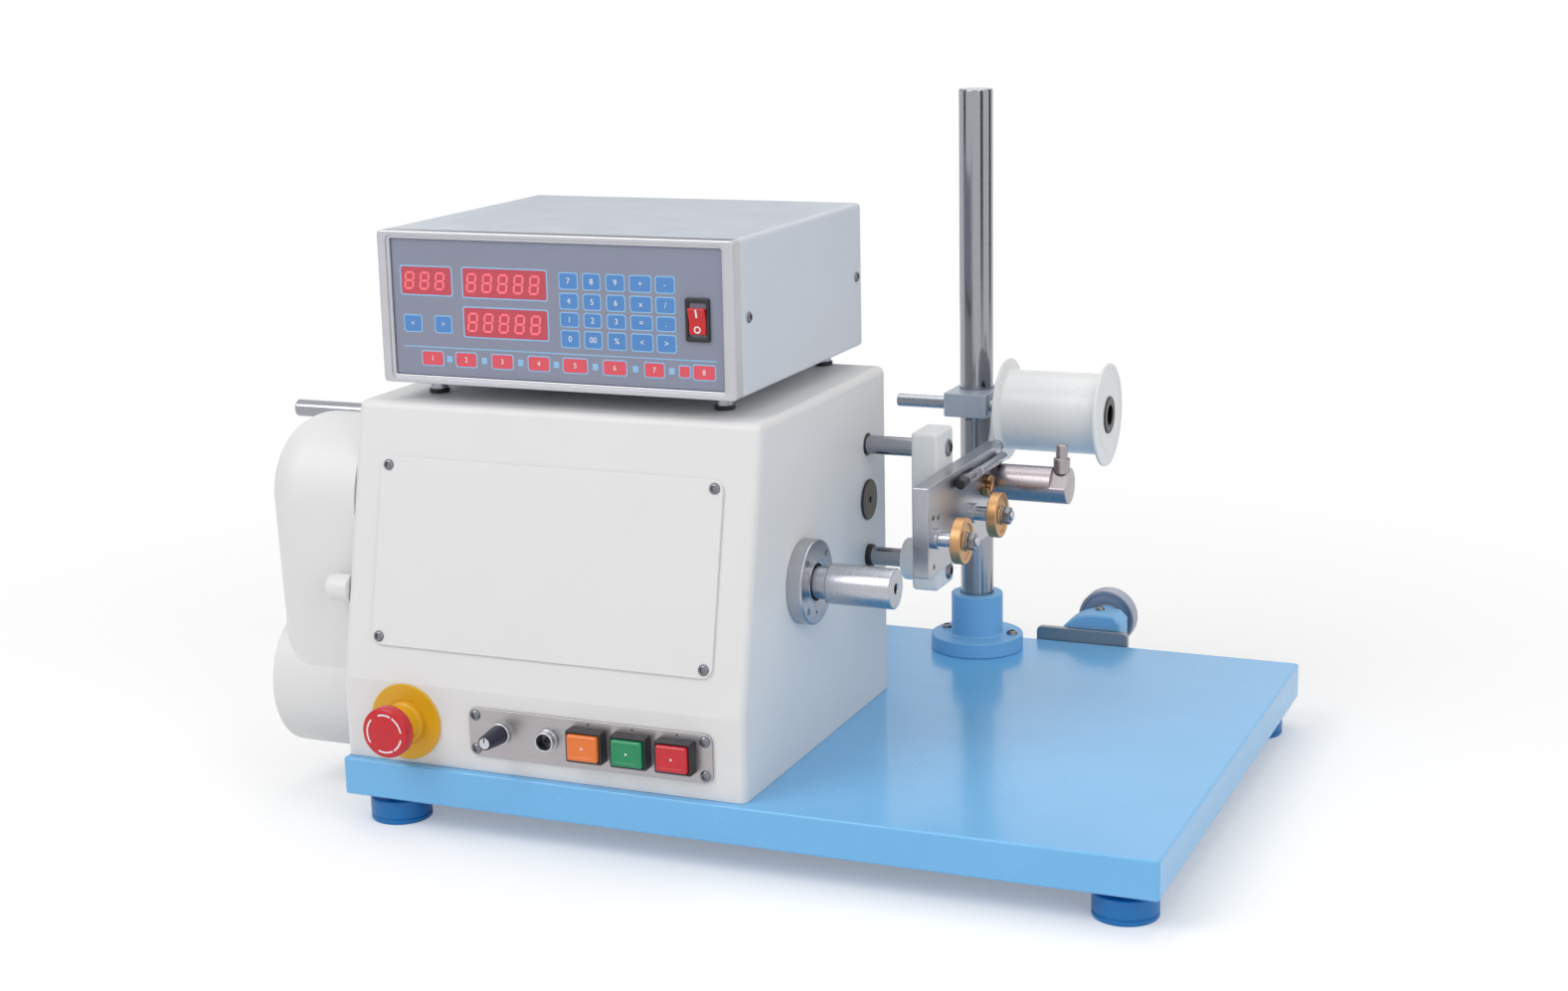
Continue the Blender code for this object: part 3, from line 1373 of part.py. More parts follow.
def build_guide_trim(carriage):
    seat = plate_right + fit_gap
    profile = [(eye_bore_radius, seat), (eye_radius, seat), (eye_radius, seat + eye_thickness),
               (eye_bore_radius, seat + eye_thickness)]
    eye = turned("wire_eye", profile, (0, eye_y - rod_y, eye_z), "x", (brass, "metal"), carriage,
                 small_sides)
    notch_half = eye_notch_width * half_share
    notch_y = eye_y - rod_y
    cut(eye, box("eye_notch", (seat - cut_overrun, notch_y - eye_radius - cut_overrun,
                               eye_z - notch_half + eye_bore_radius * half_share),
                 (seat + eye_thickness + cut_overrun, notch_y,
                  eye_z + notch_half + eye_bore_radius * half_share), parent=carriage))

    lever_x = seat + lever_rod_radius
    rod_front = lever_rod_front - rod_y
    blade_front = rod_front - lever_blade_length
    lever = cylinder("wire_lever", lever_rod_radius, lever_rod_length,
                     (lever_x, rod_front, lever_z), "y", (steel, "metal"), carriage, small_sides)
    half_thick = lever_blade_thickness * half_share
    half_high = lever_blade_height * half_share
    blade = box("lever_blade", (lever_x - half_thick, blade_front, lever_z - half_high),
                (lever_x + half_thick, rod_front + lever_overlap, lever_z + half_high),
                parent=carriage)
    tip = cylinder("lever_tip", lever_tip_radius, lever_tip_length + lever_overlap,
                   (lever_x, blade_front + lever_overlap, lever_z), "-y", parent=carriage,
                   sides=small_sides)
    slot_front = blade_front + (lever_blade_length - lever_slot_length) * half_share
    slot_half = lever_slot_height * half_share
    slot = box("lever_slot", (lever_x - half_thick - cut_overrun, slot_front, lever_z - slot_half),
               (lever_x + half_thick + cut_overrun, slot_front + lever_slot_length,
                lever_z + slot_half), parent=carriage)
    join(lever, blade, tip)
    cut(lever, slot)

    bar_right = seat + bar_length
    profile = [(0, seat), (bar_radius, seat), (bar_radius, bar_right - bar_chamfer),
               (bar_radius - bar_chamfer, bar_right), (0, bar_right)]
    bar = turned("guide_bar", profile, (0, bar_y - rod_y, bar_z), "x", (steel, "metal"),
                 carriage)
    # The flat at the bar's free end faces forward and up
    tilt = axis_point("bar_flat_turn", (bar_right, bar_y - rod_y, bar_z), carriage,
                      (quarter_turn * half_share, 0, 0))
    flat_low = bar_radius * bar_flat_share
    cut(bar, box("bar_flat", (-bar_flat_length, -bar_radius, flat_low),
                 (cut_overrun, bar_radius, bar_radius + cut_overrun), parent=tilt))
    pin_x = bar_right - pin_inset
    profile = [(0, -pin_root), (pin_foot_radius, -pin_root), (pin_foot_radius, pin_foot_height),
               (pin_radius, pin_foot_height), (pin_radius, pin_height - pin_chamfer),
               (pin_radius - pin_chamfer, pin_height), (0, pin_height)]
    join(bar, turned("guide_pin", profile, (pin_x, bar_y - rod_y, bar_z + bar_radius), "z",
                     parent=carriage, sides=small_sides))


def build_post():
    bore = post_radius + fit_gap
    profile = [(bore, fit_gap), (flange_radius, fit_gap), (flange_radius, flange_thickness - flange_edge),
               (flange_radius - flange_edge, flange_thickness), (hub_radius, flange_thickness),
               (hub_radius, hub_height - hub_edge), (hub_radius - hub_edge, hub_height),
               (bore, hub_height)]
    flange = turned("post_flange", profile, (post_x, post_y, 0), "z", (blue, "paint"))
    for angle in flange_bolt_angles:
        x = post_x + flange_bolt_circle * cos(angle)
        y = post_y + flange_bolt_circle * sin(angle)
        join(flange, screw_head((x, y, flange_thickness), "z", None, flange_bolt_radius,
                                flange_bolt_height))
    profile = [(0, fit_gap), (post_radius, fit_gap), (post_radius, post_height - post_chamfer),
               (post_radius - post_chamfer, post_height), (0, post_height)]
    turned("post", profile, (post_x, post_y, 0), "z", (steel, "metal"))


def build_spool_carrier():
    clamp_axis = axis_point("clamp_axis", (post_x, post_y, 0), origin)
    low = (clamp_left - post_x, -clamp_front_wall, clamp_low)
    high = (clamp_left + clamp_length - post_x, clamp_rear_wall, clamp_low + clamp_height)
    clamp = box("clamp_block", low, high, ((0.30, 0.34, 0.38), "paint"), clamp_axis,
                radius=clamp_edge_radius, segments=1)
    cut(clamp, cylinder("post_way", post_radius + fit_gap, clamp_height + 2 * cut_overrun,
                        (0, 0, clamp_low - cut_overrun), "z", parent=clamp_axis),
        cylinder("spool_rod_way", spool_rod_radius + fit_gap, clamp_length + 2 * cut_overrun,
                 (low[0] - cut_overrun, spool_rod_y - post_y, spool_rod_z), "x",
                 parent=clamp_axis, sides=small_sides))
    middle = clamp_low + clamp_height * half_share
    join(clamp, cylinder("post_screw", clamp_screw_radius, clamp_screw_head + screw_sink,
                         (0, clamp_rear_wall - screw_sink, middle), "y", parent=clamp_axis,
                         sides=tiny_sides),
         cylinder("rod_screw", clamp_screw_radius, clamp_screw_head + screw_sink,
                  (0, spool_rod_y - post_y, clamp_low + screw_sink), "-z", parent=clamp_axis,
                  sides=tiny_sides))

    rod_axis = axis_point("spool_rod_axis", (0, spool_rod_y, spool_rod_z), origin)
    inner = spool_rod_radius - spool_rod_chamfer
    collar_right = stop_collar_left + stop_collar_width
    profile = [(0, spool_rod_left), (inner, spool_rod_left),
               (spool_rod_radius, spool_rod_left + spool_rod_chamfer),
               (spool_rod_radius, stop_collar_left), (stop_collar_radius, stop_collar_left),
               (stop_collar_radius, collar_right), (spool_rod_radius, collar_right),
               (spool_rod_radius, spool_rod_right - spool_rod_chamfer), (inner, spool_rod_right),
               (0, spool_rod_right)]
    turned("spool_rod", profile, (0, 0, 0), "x", (steel, "metal"), rod_axis)

    spool_axis = axis_point("spool_axis", (spool_left, spool_rod_y, spool_z), origin)
    end = spool_length
    bore = spool_hub_radius + fit_gap
    well = spool_barrel_radius - spool_barrel_wall
    profile = [(bore, 0), (spool_radius - spool_edge, 0), (spool_radius, spool_edge),
               (spool_radius, spool_flange_rim), (spool_barrel_radius, spool_flange_root),
               (spool_barrel_radius, end - spool_flange_root), (spool_radius, end - spool_flange_rim),
               (spool_radius, end - spool_edge), (spool_radius - spool_edge, end), (bore, end),
               (bore, end - spool_web), (well, end - spool_web), (well, spool_web),
               (bore, spool_web)]
    turned("spool", profile, (0, 0, 0), "x", (nylon, "plastic"), spool_axis, large_sides)
    profile = [(spool_bush_bore, -spool_bush_proud), (spool_hub_radius, -spool_bush_proud),
               (spool_hub_radius, end + spool_bush_proud),
               (spool_bush_bore, end + spool_bush_proud)]
    turned("spool_bush", profile, (0, 0, 0), "x", (dark_steel, "metal"), spool_axis)


def build_rear_wheel():
    low = -bracket_drop
    right = bracket_left + bracket_length
    loop = [(bracket_left, low), (right, low), (right, bracket_rise - bracket_corner),
            (right - bracket_corner, bracket_rise), (bracket_left + bracket_corner, bracket_rise),
            (bracket_left, bracket_rise - bracket_corner)]
    outline("rear_bracket", [loop], bracket_thickness,
            (0, bracket_y + bracket_thickness * half_share, 0), "xz", (dark_steel, "metal"))

    # The arm's outline is round at the upper left and has a square right shoulder
    top = wheel_z + arm_rise
    crown_z = top - arm_crown_radius
    loop = [(wheel_x - arm_crown_radius, -arm_drop)]
    for step in range(arm_arc_steps + 1):
        angle = pi - quarter_turn * step / arm_arc_steps
        loop.append((wheel_x + arm_crown_radius * cos(angle),
                     crown_z + arm_crown_radius * sin(angle)))
    shoulder = wheel_x + arm_right_reach
    loop += [(shoulder - arm_hub_radius * half_share, top),
             (shoulder, top - arm_hub_radius * half_share), (shoulder, -arm_drop)]
    arm = outline("rear_arm", [loop], arm_length, (0, arm_y + arm_length * half_share, 0), "xz",
                  (blue, "paint"))
    bevel(arm, arm_edge_radius, segments=2)
    hub_y = arm_y + arm_length
    axle_end = wheel_rear
    profile = [(0, -cut_overrun), (arm_hub_radius, -cut_overrun), (arm_hub_radius, arm_hub_length),
               (axle_radius, arm_hub_length), (axle_radius, axle_end - axle_nut_length - hub_y),
               (axle_nut_radius, axle_end - axle_nut_length - hub_y),
               (axle_nut_radius, axle_end - hub_y), (0, axle_end - hub_y)]
    join(arm, turned("arm_hub", profile, (wheel_x, hub_y, wheel_z), "y", sides=small_sides))
    join(arm, screw_head((wheel_x, arm_y + arm_length - arm_bolt_inset, top), "z", None,
                         arm_bolt_radius, arm_bolt_height))

    wheel_axis = axis_point("rear_wheel_axis", (wheel_x, wheel_y, wheel_z), origin)
    profile = [(axle_radius + fit_gap, 0), (wheel_hub_radius, 0), (wheel_hub_radius, wheel_recess),
               (wheel_recess_radius, wheel_recess), (wheel_recess_radius, 0),
               (wheel_radius - wheel_edge, 0), (wheel_radius, wheel_edge),
               (wheel_radius, wheel_width - wheel_edge), (wheel_radius - wheel_edge, wheel_width),
               (axle_radius + fit_gap, wheel_width)]
    turned("rear_wheel", profile, (0, 0, 0), "y", (dark_steel, "metal"), wheel_axis)


build_base()
build_housing()
build_switch_plate()
build_switches()
build_estop()
build_control_box()
build_spindle()
build_drive()
build_belt_guard()
guide_carriage = build_traverse()
build_guide_head(guide_carriage)
build_post()
build_spool_carrier()
build_rear_wheel()
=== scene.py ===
from math import asin, cos, hypot, pi, radians, sin

import bmesh
import bpy
import numpy as np
from mathutils import Matrix, Vector


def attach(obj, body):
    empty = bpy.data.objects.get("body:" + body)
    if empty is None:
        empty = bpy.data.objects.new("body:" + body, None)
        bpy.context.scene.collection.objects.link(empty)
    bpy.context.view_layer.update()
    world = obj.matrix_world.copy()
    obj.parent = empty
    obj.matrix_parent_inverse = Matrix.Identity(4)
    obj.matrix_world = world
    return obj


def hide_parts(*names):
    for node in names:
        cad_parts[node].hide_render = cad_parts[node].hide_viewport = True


# The looks of a bench-top wire coil winding machine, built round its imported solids.
# Sizes are in millimetres from the base plate's front left top corner: X right, Y back, Z up.

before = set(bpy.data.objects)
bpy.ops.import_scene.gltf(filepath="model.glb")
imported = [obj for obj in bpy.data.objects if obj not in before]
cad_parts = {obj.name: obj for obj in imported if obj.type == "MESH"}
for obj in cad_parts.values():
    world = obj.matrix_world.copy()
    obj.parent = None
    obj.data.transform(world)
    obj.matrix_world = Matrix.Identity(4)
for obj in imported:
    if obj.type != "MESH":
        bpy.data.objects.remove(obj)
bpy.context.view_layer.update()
machineCorner = np.array([-224.8, -261.95, 54.8])  # where that corner stands in the row frame
axisX, axisY, axisZ = np.eye(3)

# Each way of facing gives the directions across, up and out of a shape
facing = {
    "x": (axisY, axisZ, axisX), "-x": (axisZ, axisY, -axisX), "y": (axisZ, axisX, axisY),
    "-y": (axisX, axisZ, -axisY), "z": (axisX, axisY, axisZ), "-z": (axisY, axisX, -axisZ)}


# Shapes as whole arrays


def rounded(line, steps=5, loop=False, support=0.25):
    # Each corner with a radius gives way to an arc that touches both its sides: the arc's points
    # are the arc centre plus the blend of its first and last spoke by the sines of the two part turns.
    # A support point beside each arc keeps the flat next to it flat in the light.
    corners = [tuple(point) + (0,) * (3 - len(point)) for point in line]
    points = np.array([corner[:2] for corner in corners], float)
    count = len(points)
    back = np.roll(points, 1, 0) - points
    ahead = np.roll(points, -1, 0) - points
    backLength = np.linalg.norm(back, axis=1)
    aheadLength = np.linalg.norm(ahead, axis=1)
    back = back / np.maximum(backLength, 1e-9)[:, None]
    ahead = ahead / np.maximum(aheadLength, 1e-9)[:, None]
    halfAngle = np.arccos(np.clip((back * ahead).sum(1), -1, 1)) / 2
    radius = np.array([corner[2] for corner in corners], float)
    if not loop:
        radius[[0, -1]] = 0
    reach = radius / np.tan(np.maximum(halfAngle, 1e-6))
    pieces = []
    for i in range(count):
        if not radius[i]:
            pieces.append(points[i][None])
            continue
        inward = back[i] + ahead[i]
        middle = points[i] + inward / np.linalg.norm(inward) * radius[i] / sin(halfAngle[i])
        start = points[i] + back[i] * reach[i] - middle
        end = points[i] + ahead[i] * reach[i] - middle
        turn = pi - 2 * halfAngle[i]
        share = np.linspace(0, 1, steps + 1)[:, None]
        arc = middle + (start * np.sin((1 - share) * turn) + end * np.sin(share * turn)) / sin(turn)
        roomBack = min(support, 0.3 * (backLength[i] - reach[i] - reach[i - 1]))
        roomAhead = min(support, 0.3 * (aheadLength[i] - reach[i] - reach[(i + 1) % count]))
        pieces.append(np.vstack([
            points[i] + back[i] * (reach[i] + max(roomBack, 0)), arc,
            points[i] + ahead[i] * (reach[i] + max(roomAhead, 0))]))
    return np.vstack(pieces)


def rectangle(left, right, low, high, radius, steps=5):
    # Four corners in turn, each rounded
    return rounded([(right, high, radius), (left, high, radius), (left, low, radius),
                    (right, low, radius)], steps, loop=True)


def circle(x, y, radius, sides=48):
    # Centre plus radius times the cosine and sine of equal turns
    turn = np.linspace(0, 2 * pi, sides, endpoint=False)
    return np.stack([x + radius * np.cos(turn), y + radius * np.sin(turn)], -1)


def drawnIn(outline, inset):
    # Every point moves inwards along the middle of its two sides' normals, so each side moves by the inset
    before = outline - np.roll(outline, 1, 0)
    after = np.roll(outline, -1, 0) - outline
    before = before / np.maximum(np.linalg.norm(before, axis=1), 1e-9)[:, None]
    after = after / np.maximum(np.linalg.norm(after, axis=1), 1e-9)[:, None]
    first = np.stack([before[:, 1], -before[:, 0]], -1)
    second = np.stack([after[:, 1], -after[:, 0]], -1)
    return outline - inset * (first + second) / (1 + (first * second).sum(1))[:, None]


def anticlockwise(outline):
    # The sign of the area swept by the outline tells which way it runs
    x, y = outline.T
    area = (x * np.roll(y, -1) - y * np.roll(x, -1)).sum()
    return outline if area > 0 else outline[::-1]


def stood(flat, height, way, start=(0, 0, 0)):
    # start + across * x + up * y + out * height
    across, up, out = facing[way] if isinstance(way, str) else way
    height = np.asarray(height, float)
    while height.ndim < flat.ndim - 1:
        height = height[..., None]
    return (np.asarray(start, float) + flat[..., :1] * across + flat[..., 1:] * up
            + height[..., None] * out)


def slabRings(outline, low, high, way, edges=(0.6, 0.6), start=(0, 0, 0), steps=4):
    # The outline carried from low to high; near each end it is drawn in along a quarter circle
    outline = anticlockwise(np.asarray(outline, float))
    lowEdge, highEdge = edges
    side = rounded([(lowEdge + 0.3, low), (0, low, lowEdge), (0, high, highEdge),
                    (highEdge + 0.3, high)], steps)
    flat = np.stack([drawnIn(outline, inset) for inset in side[:, 0]])
    return stood(flat, side[:, 1], way, start)


def turnedRings(profile, centre, way, sides=64, steps=4, loop=False, sweep=(0, 2 * pi)):
    # centre + radius * (across * cos(turn) + up * sin(turn)) + out * distance, for each point of the
    # rounded profile; the second array holds (cos, sin, length along the profile) for turning marks
    line = rounded(profile, steps, loop)
    whole = abs(sweep[1] - sweep[0] - 2 * pi) < 1e-6
    turn = np.linspace(*sweep, sides, endpoint=not whole)
    across, up, out = facing[way]
    spokes = np.cos(turn)[:, None] * across + np.sin(turn)[:, None] * up
    rings = (np.asarray(centre, float) + line[:, :1, None] * spokes
             + line[:, 1][:, None, None] * out)
    length = np.concatenate([[0], np.cumsum(np.linalg.norm(np.diff(line, axis=0), axis=1))])
    marks = np.stack(np.broadcast_arrays(np.cos(turn), np.sin(turn), length[:, None]), -1)
    return rings, marks


def hexagon(turn, halfWidth):
    # Distance from a hexagon's middle to its side at each turn: half width over the cosine from the flat
    return halfWidth / np.cos((turn + pi / 6) % (pi / 3) - pi / 6)


def nutRings(centre, way, halfWidth, height, sides=72, start=0):
    # The smaller of the hexagon's distance and a cone's at each height gives the chamfered corners
    turn = np.linspace(0, 2 * pi, sides, endpoint=False)
    corner = halfWidth / cos(pi / 6)
    chamfer = corner - halfWidth
    rows = [(0, 0), (halfWidth * 0.96, 0)]
    rows += [(halfWidth * 0.98 + chamfer * share, chamfer * 0.6 * share) for share in (0.2, 0.6, 1.1)]
    rows += [(limit, height - up) for limit, up in rows[::-1]]
    limit, up = np.array(rows).T
    radius = np.minimum(limit[:, None], hexagon(turn + start, halfWidth))
    across, upward, out = facing[way]
    spokes = np.cos(turn)[:, None] * across + np.sin(turn)[:, None] * upward
    rings = (np.asarray(centre, float) + radius[..., None] * spokes
             + up[:, None, None] * out)
    marks = np.stack(np.broadcast_arrays(np.cos(turn), np.sin(turn), up[:, None]), -1)
    return rings, marks


def buttonScrewRings(centre, way, radius, height, socket=0.46, sides=36, sink=0.6):
    # A quarter ellipse from the socket's rim to the head's rim, and a hexagon for the socket
    across, up, out = facing[way] if isinstance(way, str) else way
    turn = np.linspace(0, 2 * pi, sides, endpoint=False)
    hexRadius = hexagon(turn, radius * socket)
    rim = radius * socket * 1.26
    tilt = np.linspace(asin(rim / radius), pi / 2, 7)
    dome = [(np.full(sides, radius * sin(t)), height * cos(t)) for t in tilt]
    floor = height * 0.25
    rows = [(hexRadius * 0, floor), (hexRadius, floor), (hexRadius, dome[0][1] - 0.12),
            (hexRadius * 1.03 + 0.03, dome[0][1])] + dome
    rows += [(np.full(sides, radius), -sink), (hexRadius * 0, -sink)]
    spokes = np.cos(turn)[:, None] * across + np.sin(turn)[:, None] * up
    rings = np.stack([np.asarray(centre, float) + r[:, None] * spokes + h * out for r, h in rows])
    marks = np.stack(np.broadcast_arrays(
        np.cos(turn), np.sin(turn), np.array([h for r, h in rows])[:, None]), -1)
    return rings, marks


# Meshes and pieces


def skinned(name, grids, loop=False, marks=None, sharp=38):
    # Point (i, j) of each grid joins (i + 1, j) and (i, j + 1); rows close on themselves, and the
    # first and last rows are capped, or joined to each other when the skin is a loop
    points, faces, first = [], [], 0
    for rings in grids:
        rows, around = rings.shape[:2]
        index = np.arange(rows * around).reshape(rows, around) + first
        here, following = (index, np.roll(index, -1, 0)) if loop else (index[:-1], index[1:])
        quads = np.stack([here, np.roll(here, -1, 1), np.roll(following, -1, 1), following], -1)
        faces += quads.reshape(-1, 4).tolist()
        if not loop:
            faces += [index[0][::-1].tolist(), index[-1].tolist()]
        points.append(rings.reshape(-1, 3))
        first += rows * around
    mesh = bpy.data.meshes.new(name)
    mesh.from_pydata(((np.vstack(points) + machineCorner) / 1000).tolist(), [], faces)
    if marks is not None:
        layer = mesh.attributes.new("turning", "FLOAT_VECTOR", "POINT")
        values = np.vstack([mark.reshape(-1, 3) for mark in marks]).astype(np.float32)
        layer.data.foreach_set("vector", values.ravel())
    form = bmesh.new()
    form.from_mesh(mesh)
    bmesh.ops.remove_doubles(form, verts=form.verts, dist=1e-6)
    bmesh.ops.recalc_face_normals(form, faces=form.faces)
    form.to_mesh(mesh)
    form.free()
    mesh.shade_smooth()
    mesh.set_sharp_from_angle(angle=radians(sharp))
    return mesh


def piece(name, mesh, look, body="frame", nodes=()):
    # One object at the origin, on its body, in its finish; it stands for the nodes it names
    made = bpy.data.objects.new(name, mesh)
    bpy.context.scene.collection.objects.link(made)
    mesh.materials.clear()
    mesh.materials.append(looks[look])
    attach(made, body)
    if nodes:
        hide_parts(*([nodes] if isinstance(nodes, str) else nodes))
    return made


def slab(name, outline, low, high, way, look, body="frame", nodes=(), edges=(0.6, 0.6),
         start=(0, 0, 0), steps=4):
    rings = slabRings(outline, low, high, way, edges, start, steps)
    return piece(name, skinned(name, [rings]), look, body, nodes)


def slabs(name, outlines, low, high, way, look, body="frame", edges=(0.1, 0.1), start=(0, 0, 0),
          steps=1):
    grids = [slabRings(outline, low, high, way, edges, start, steps) for outline in outlines]
    return piece(name, skinned(name, grids), look, body)


def turned(name, profile, centre, way, look, body="frame", nodes=(), sides=64, steps=4,
           loop=False, sharp=38):
    rings, marks = turnedRings(profile, centre, way, sides, steps, loop)
    return piece(name, skinned(name, [rings], loop, [marks], sharp), look, body, nodes)


def screws(name, centres, way, radius, height, look="screwSteel", body="frame"):
    made = [buttonScrewRings(centre, way, radius, height) for centre in centres]
    mesh = skinned(name, [rings for rings, marks in made], marks=[marks for rings, marks in made])
    return piece(name, mesh, look, body)


def openFrame(name, sections, look, way, body="frame", nodes=()):
    # Each section point is (outline, how far it is drawn in, height); the points make a closed ring
    flat = np.stack([drawnIn(outline, inset) for outline, inset, height in sections])
    rings = stood(flat, [height for outline, inset, height in sections], way)
    return piece(name, skinned(name, [rings], loop=True), look, body, nodes)


# Finishes


def linear(colour):
    # Screen values to light: the usual power curve with its straight foot
    share = np.array(colour, float) / 255
    return tuple(np.where(share <= 0.04045, share / 12.92, ((share + 0.055) / 1.055) ** 2.4))


def newGroup(name, inputs, outputs):
    group = bpy.data.node_groups.new(name, "ShaderNodeTree")
    for title, kind, value in inputs:
        socket = group.interface.new_socket(title, in_out="INPUT", socket_type=kind)
        if value is not None:
            socket.default_value = value
    for title in outputs:
        group.interface.new_socket(title, in_out="OUTPUT", socket_type="NodeSocketFloat")
    return group, group.nodes.new("NodeGroupInput"), group.nodes.new("NodeGroupOutput")


def noise(tree, vector, scale, detail=3.0, roughness=0.55, distortion=0.0):
    made = tree.nodes.new("ShaderNodeTexNoise")
    made.inputs["Detail"].default_value = detail
    made.inputs["Roughness"].default_value = roughness
    made.inputs["Distortion"].default_value = distortion
    tree.links.new(vector, made.inputs["Vector"])
    if isinstance(scale, (int, float)):
        made.inputs["Scale"].default_value = scale
    else:
        tree.links.new(scale, made.inputs["Scale"])
    return made.outputs["Fac"]


def sums(tree, operation, first, second, third=None):
    made = tree.nodes.new("ShaderNodeMath")
    made.operation = operation
    for socket, value in zip(made.inputs, (first, second, third)):
        if value is None:
            continue
        if isinstance(value, (int, float)):
            socket.default_value = value
        else:
            tree.links.new(value, socket)
    return made.outputs[0]


def grainGroup():
    # Fine grain for paint and moulded plastic, with broad clouds for the drift of tone and gloss
    group, start, end = newGroup("powderGrain", [
        ("Vector", "NodeSocketVector", None), ("Grain", "NodeSocketFloat", 900.0),
        ("Clouds", "NodeSocketFloat", 14.0)], ["Tone", "Height", "Gloss"])
    vector = start.outputs["Vector"]
    fine = noise(group, vector, start.outputs["Grain"], 2.0, 0.5)
    broad = noise(group, vector, start.outputs["Clouds"], 4.0, 0.6)
    smudge = noise(group, vector, sums(group, "MULTIPLY", start.outputs["Clouds"], 2.7), 5.0, 0.65, 0.4)
    tone = sums(group, "ADD", sums(group, "MULTIPLY", fine, 0.35), sums(group, "MULTIPLY", broad, 0.65))
    group.links.new(tone, end.inputs["Tone"])
    group.links.new(fine, end.inputs["Height"])
    group.links.new(smudge, end.inputs["Gloss"])
    return group


def turningGroup():
    # Rings left by a lathe: noise on (cos, sin, length), stretched hard along the length
    group, start, end = newGroup("turningMarks", [
        ("Vector", "NodeSocketVector", None), ("Lines", "NodeSocketFloat", 5.0)],
        ["Tone", "Height", "Gloss"])
    stretch = group.nodes.new("ShaderNodeVectorMath")
    stretch.operation = "MULTIPLY"
    stretch.inputs[1].default_value = (0.35, 0.35, 1.0)
    group.links.new(start.outputs["Vector"], stretch.inputs[0])
    lines = noise(group, stretch.outputs[0], start.outputs["Lines"], 4.0, 0.7)
    slow = noise(group, stretch.outputs[0], 0.6, 3.0, 0.6)
    group.links.new(sums(group, "ADD", sums(group, "MULTIPLY", lines, 0.6),
                         sums(group, "MULTIPLY", slow, 0.4)), end.inputs["Tone"])
    group.links.new(lines, end.inputs["Height"])
    group.links.new(slow, end.inputs["Gloss"])
    return group


def brushGroup():
    # Straight brush lines: noise on coordinates pressed together along one axis
    group, start, end = newGroup("brushLines", [
        ("Vector", "NodeSocketVector", None), ("Lines", "NodeSocketFloat", 1.0)],
        ["Tone", "Height", "Gloss"])
    lines = noise(group, start.outputs["Vector"], start.outputs["Lines"], 5.0, 0.72)
    slow = noise(group, start.outputs["Vector"], sums(group, "MULTIPLY", start.outputs["Lines"], 0.06),
                 3.0, 0.6)
    group.links.new(sums(group, "ADD", sums(group, "MULTIPLY", lines, 0.6),
                         sums(group, "MULTIPLY", slow, 0.4)), end.inputs["Tone"])
    group.links.new(lines, end.inputs["Height"])
    group.links.new(slow, end.inputs["Gloss"])
    return group


groups = {"grain": grainGroup(), "turned": turningGroup(), "brushed": brushGroup()}

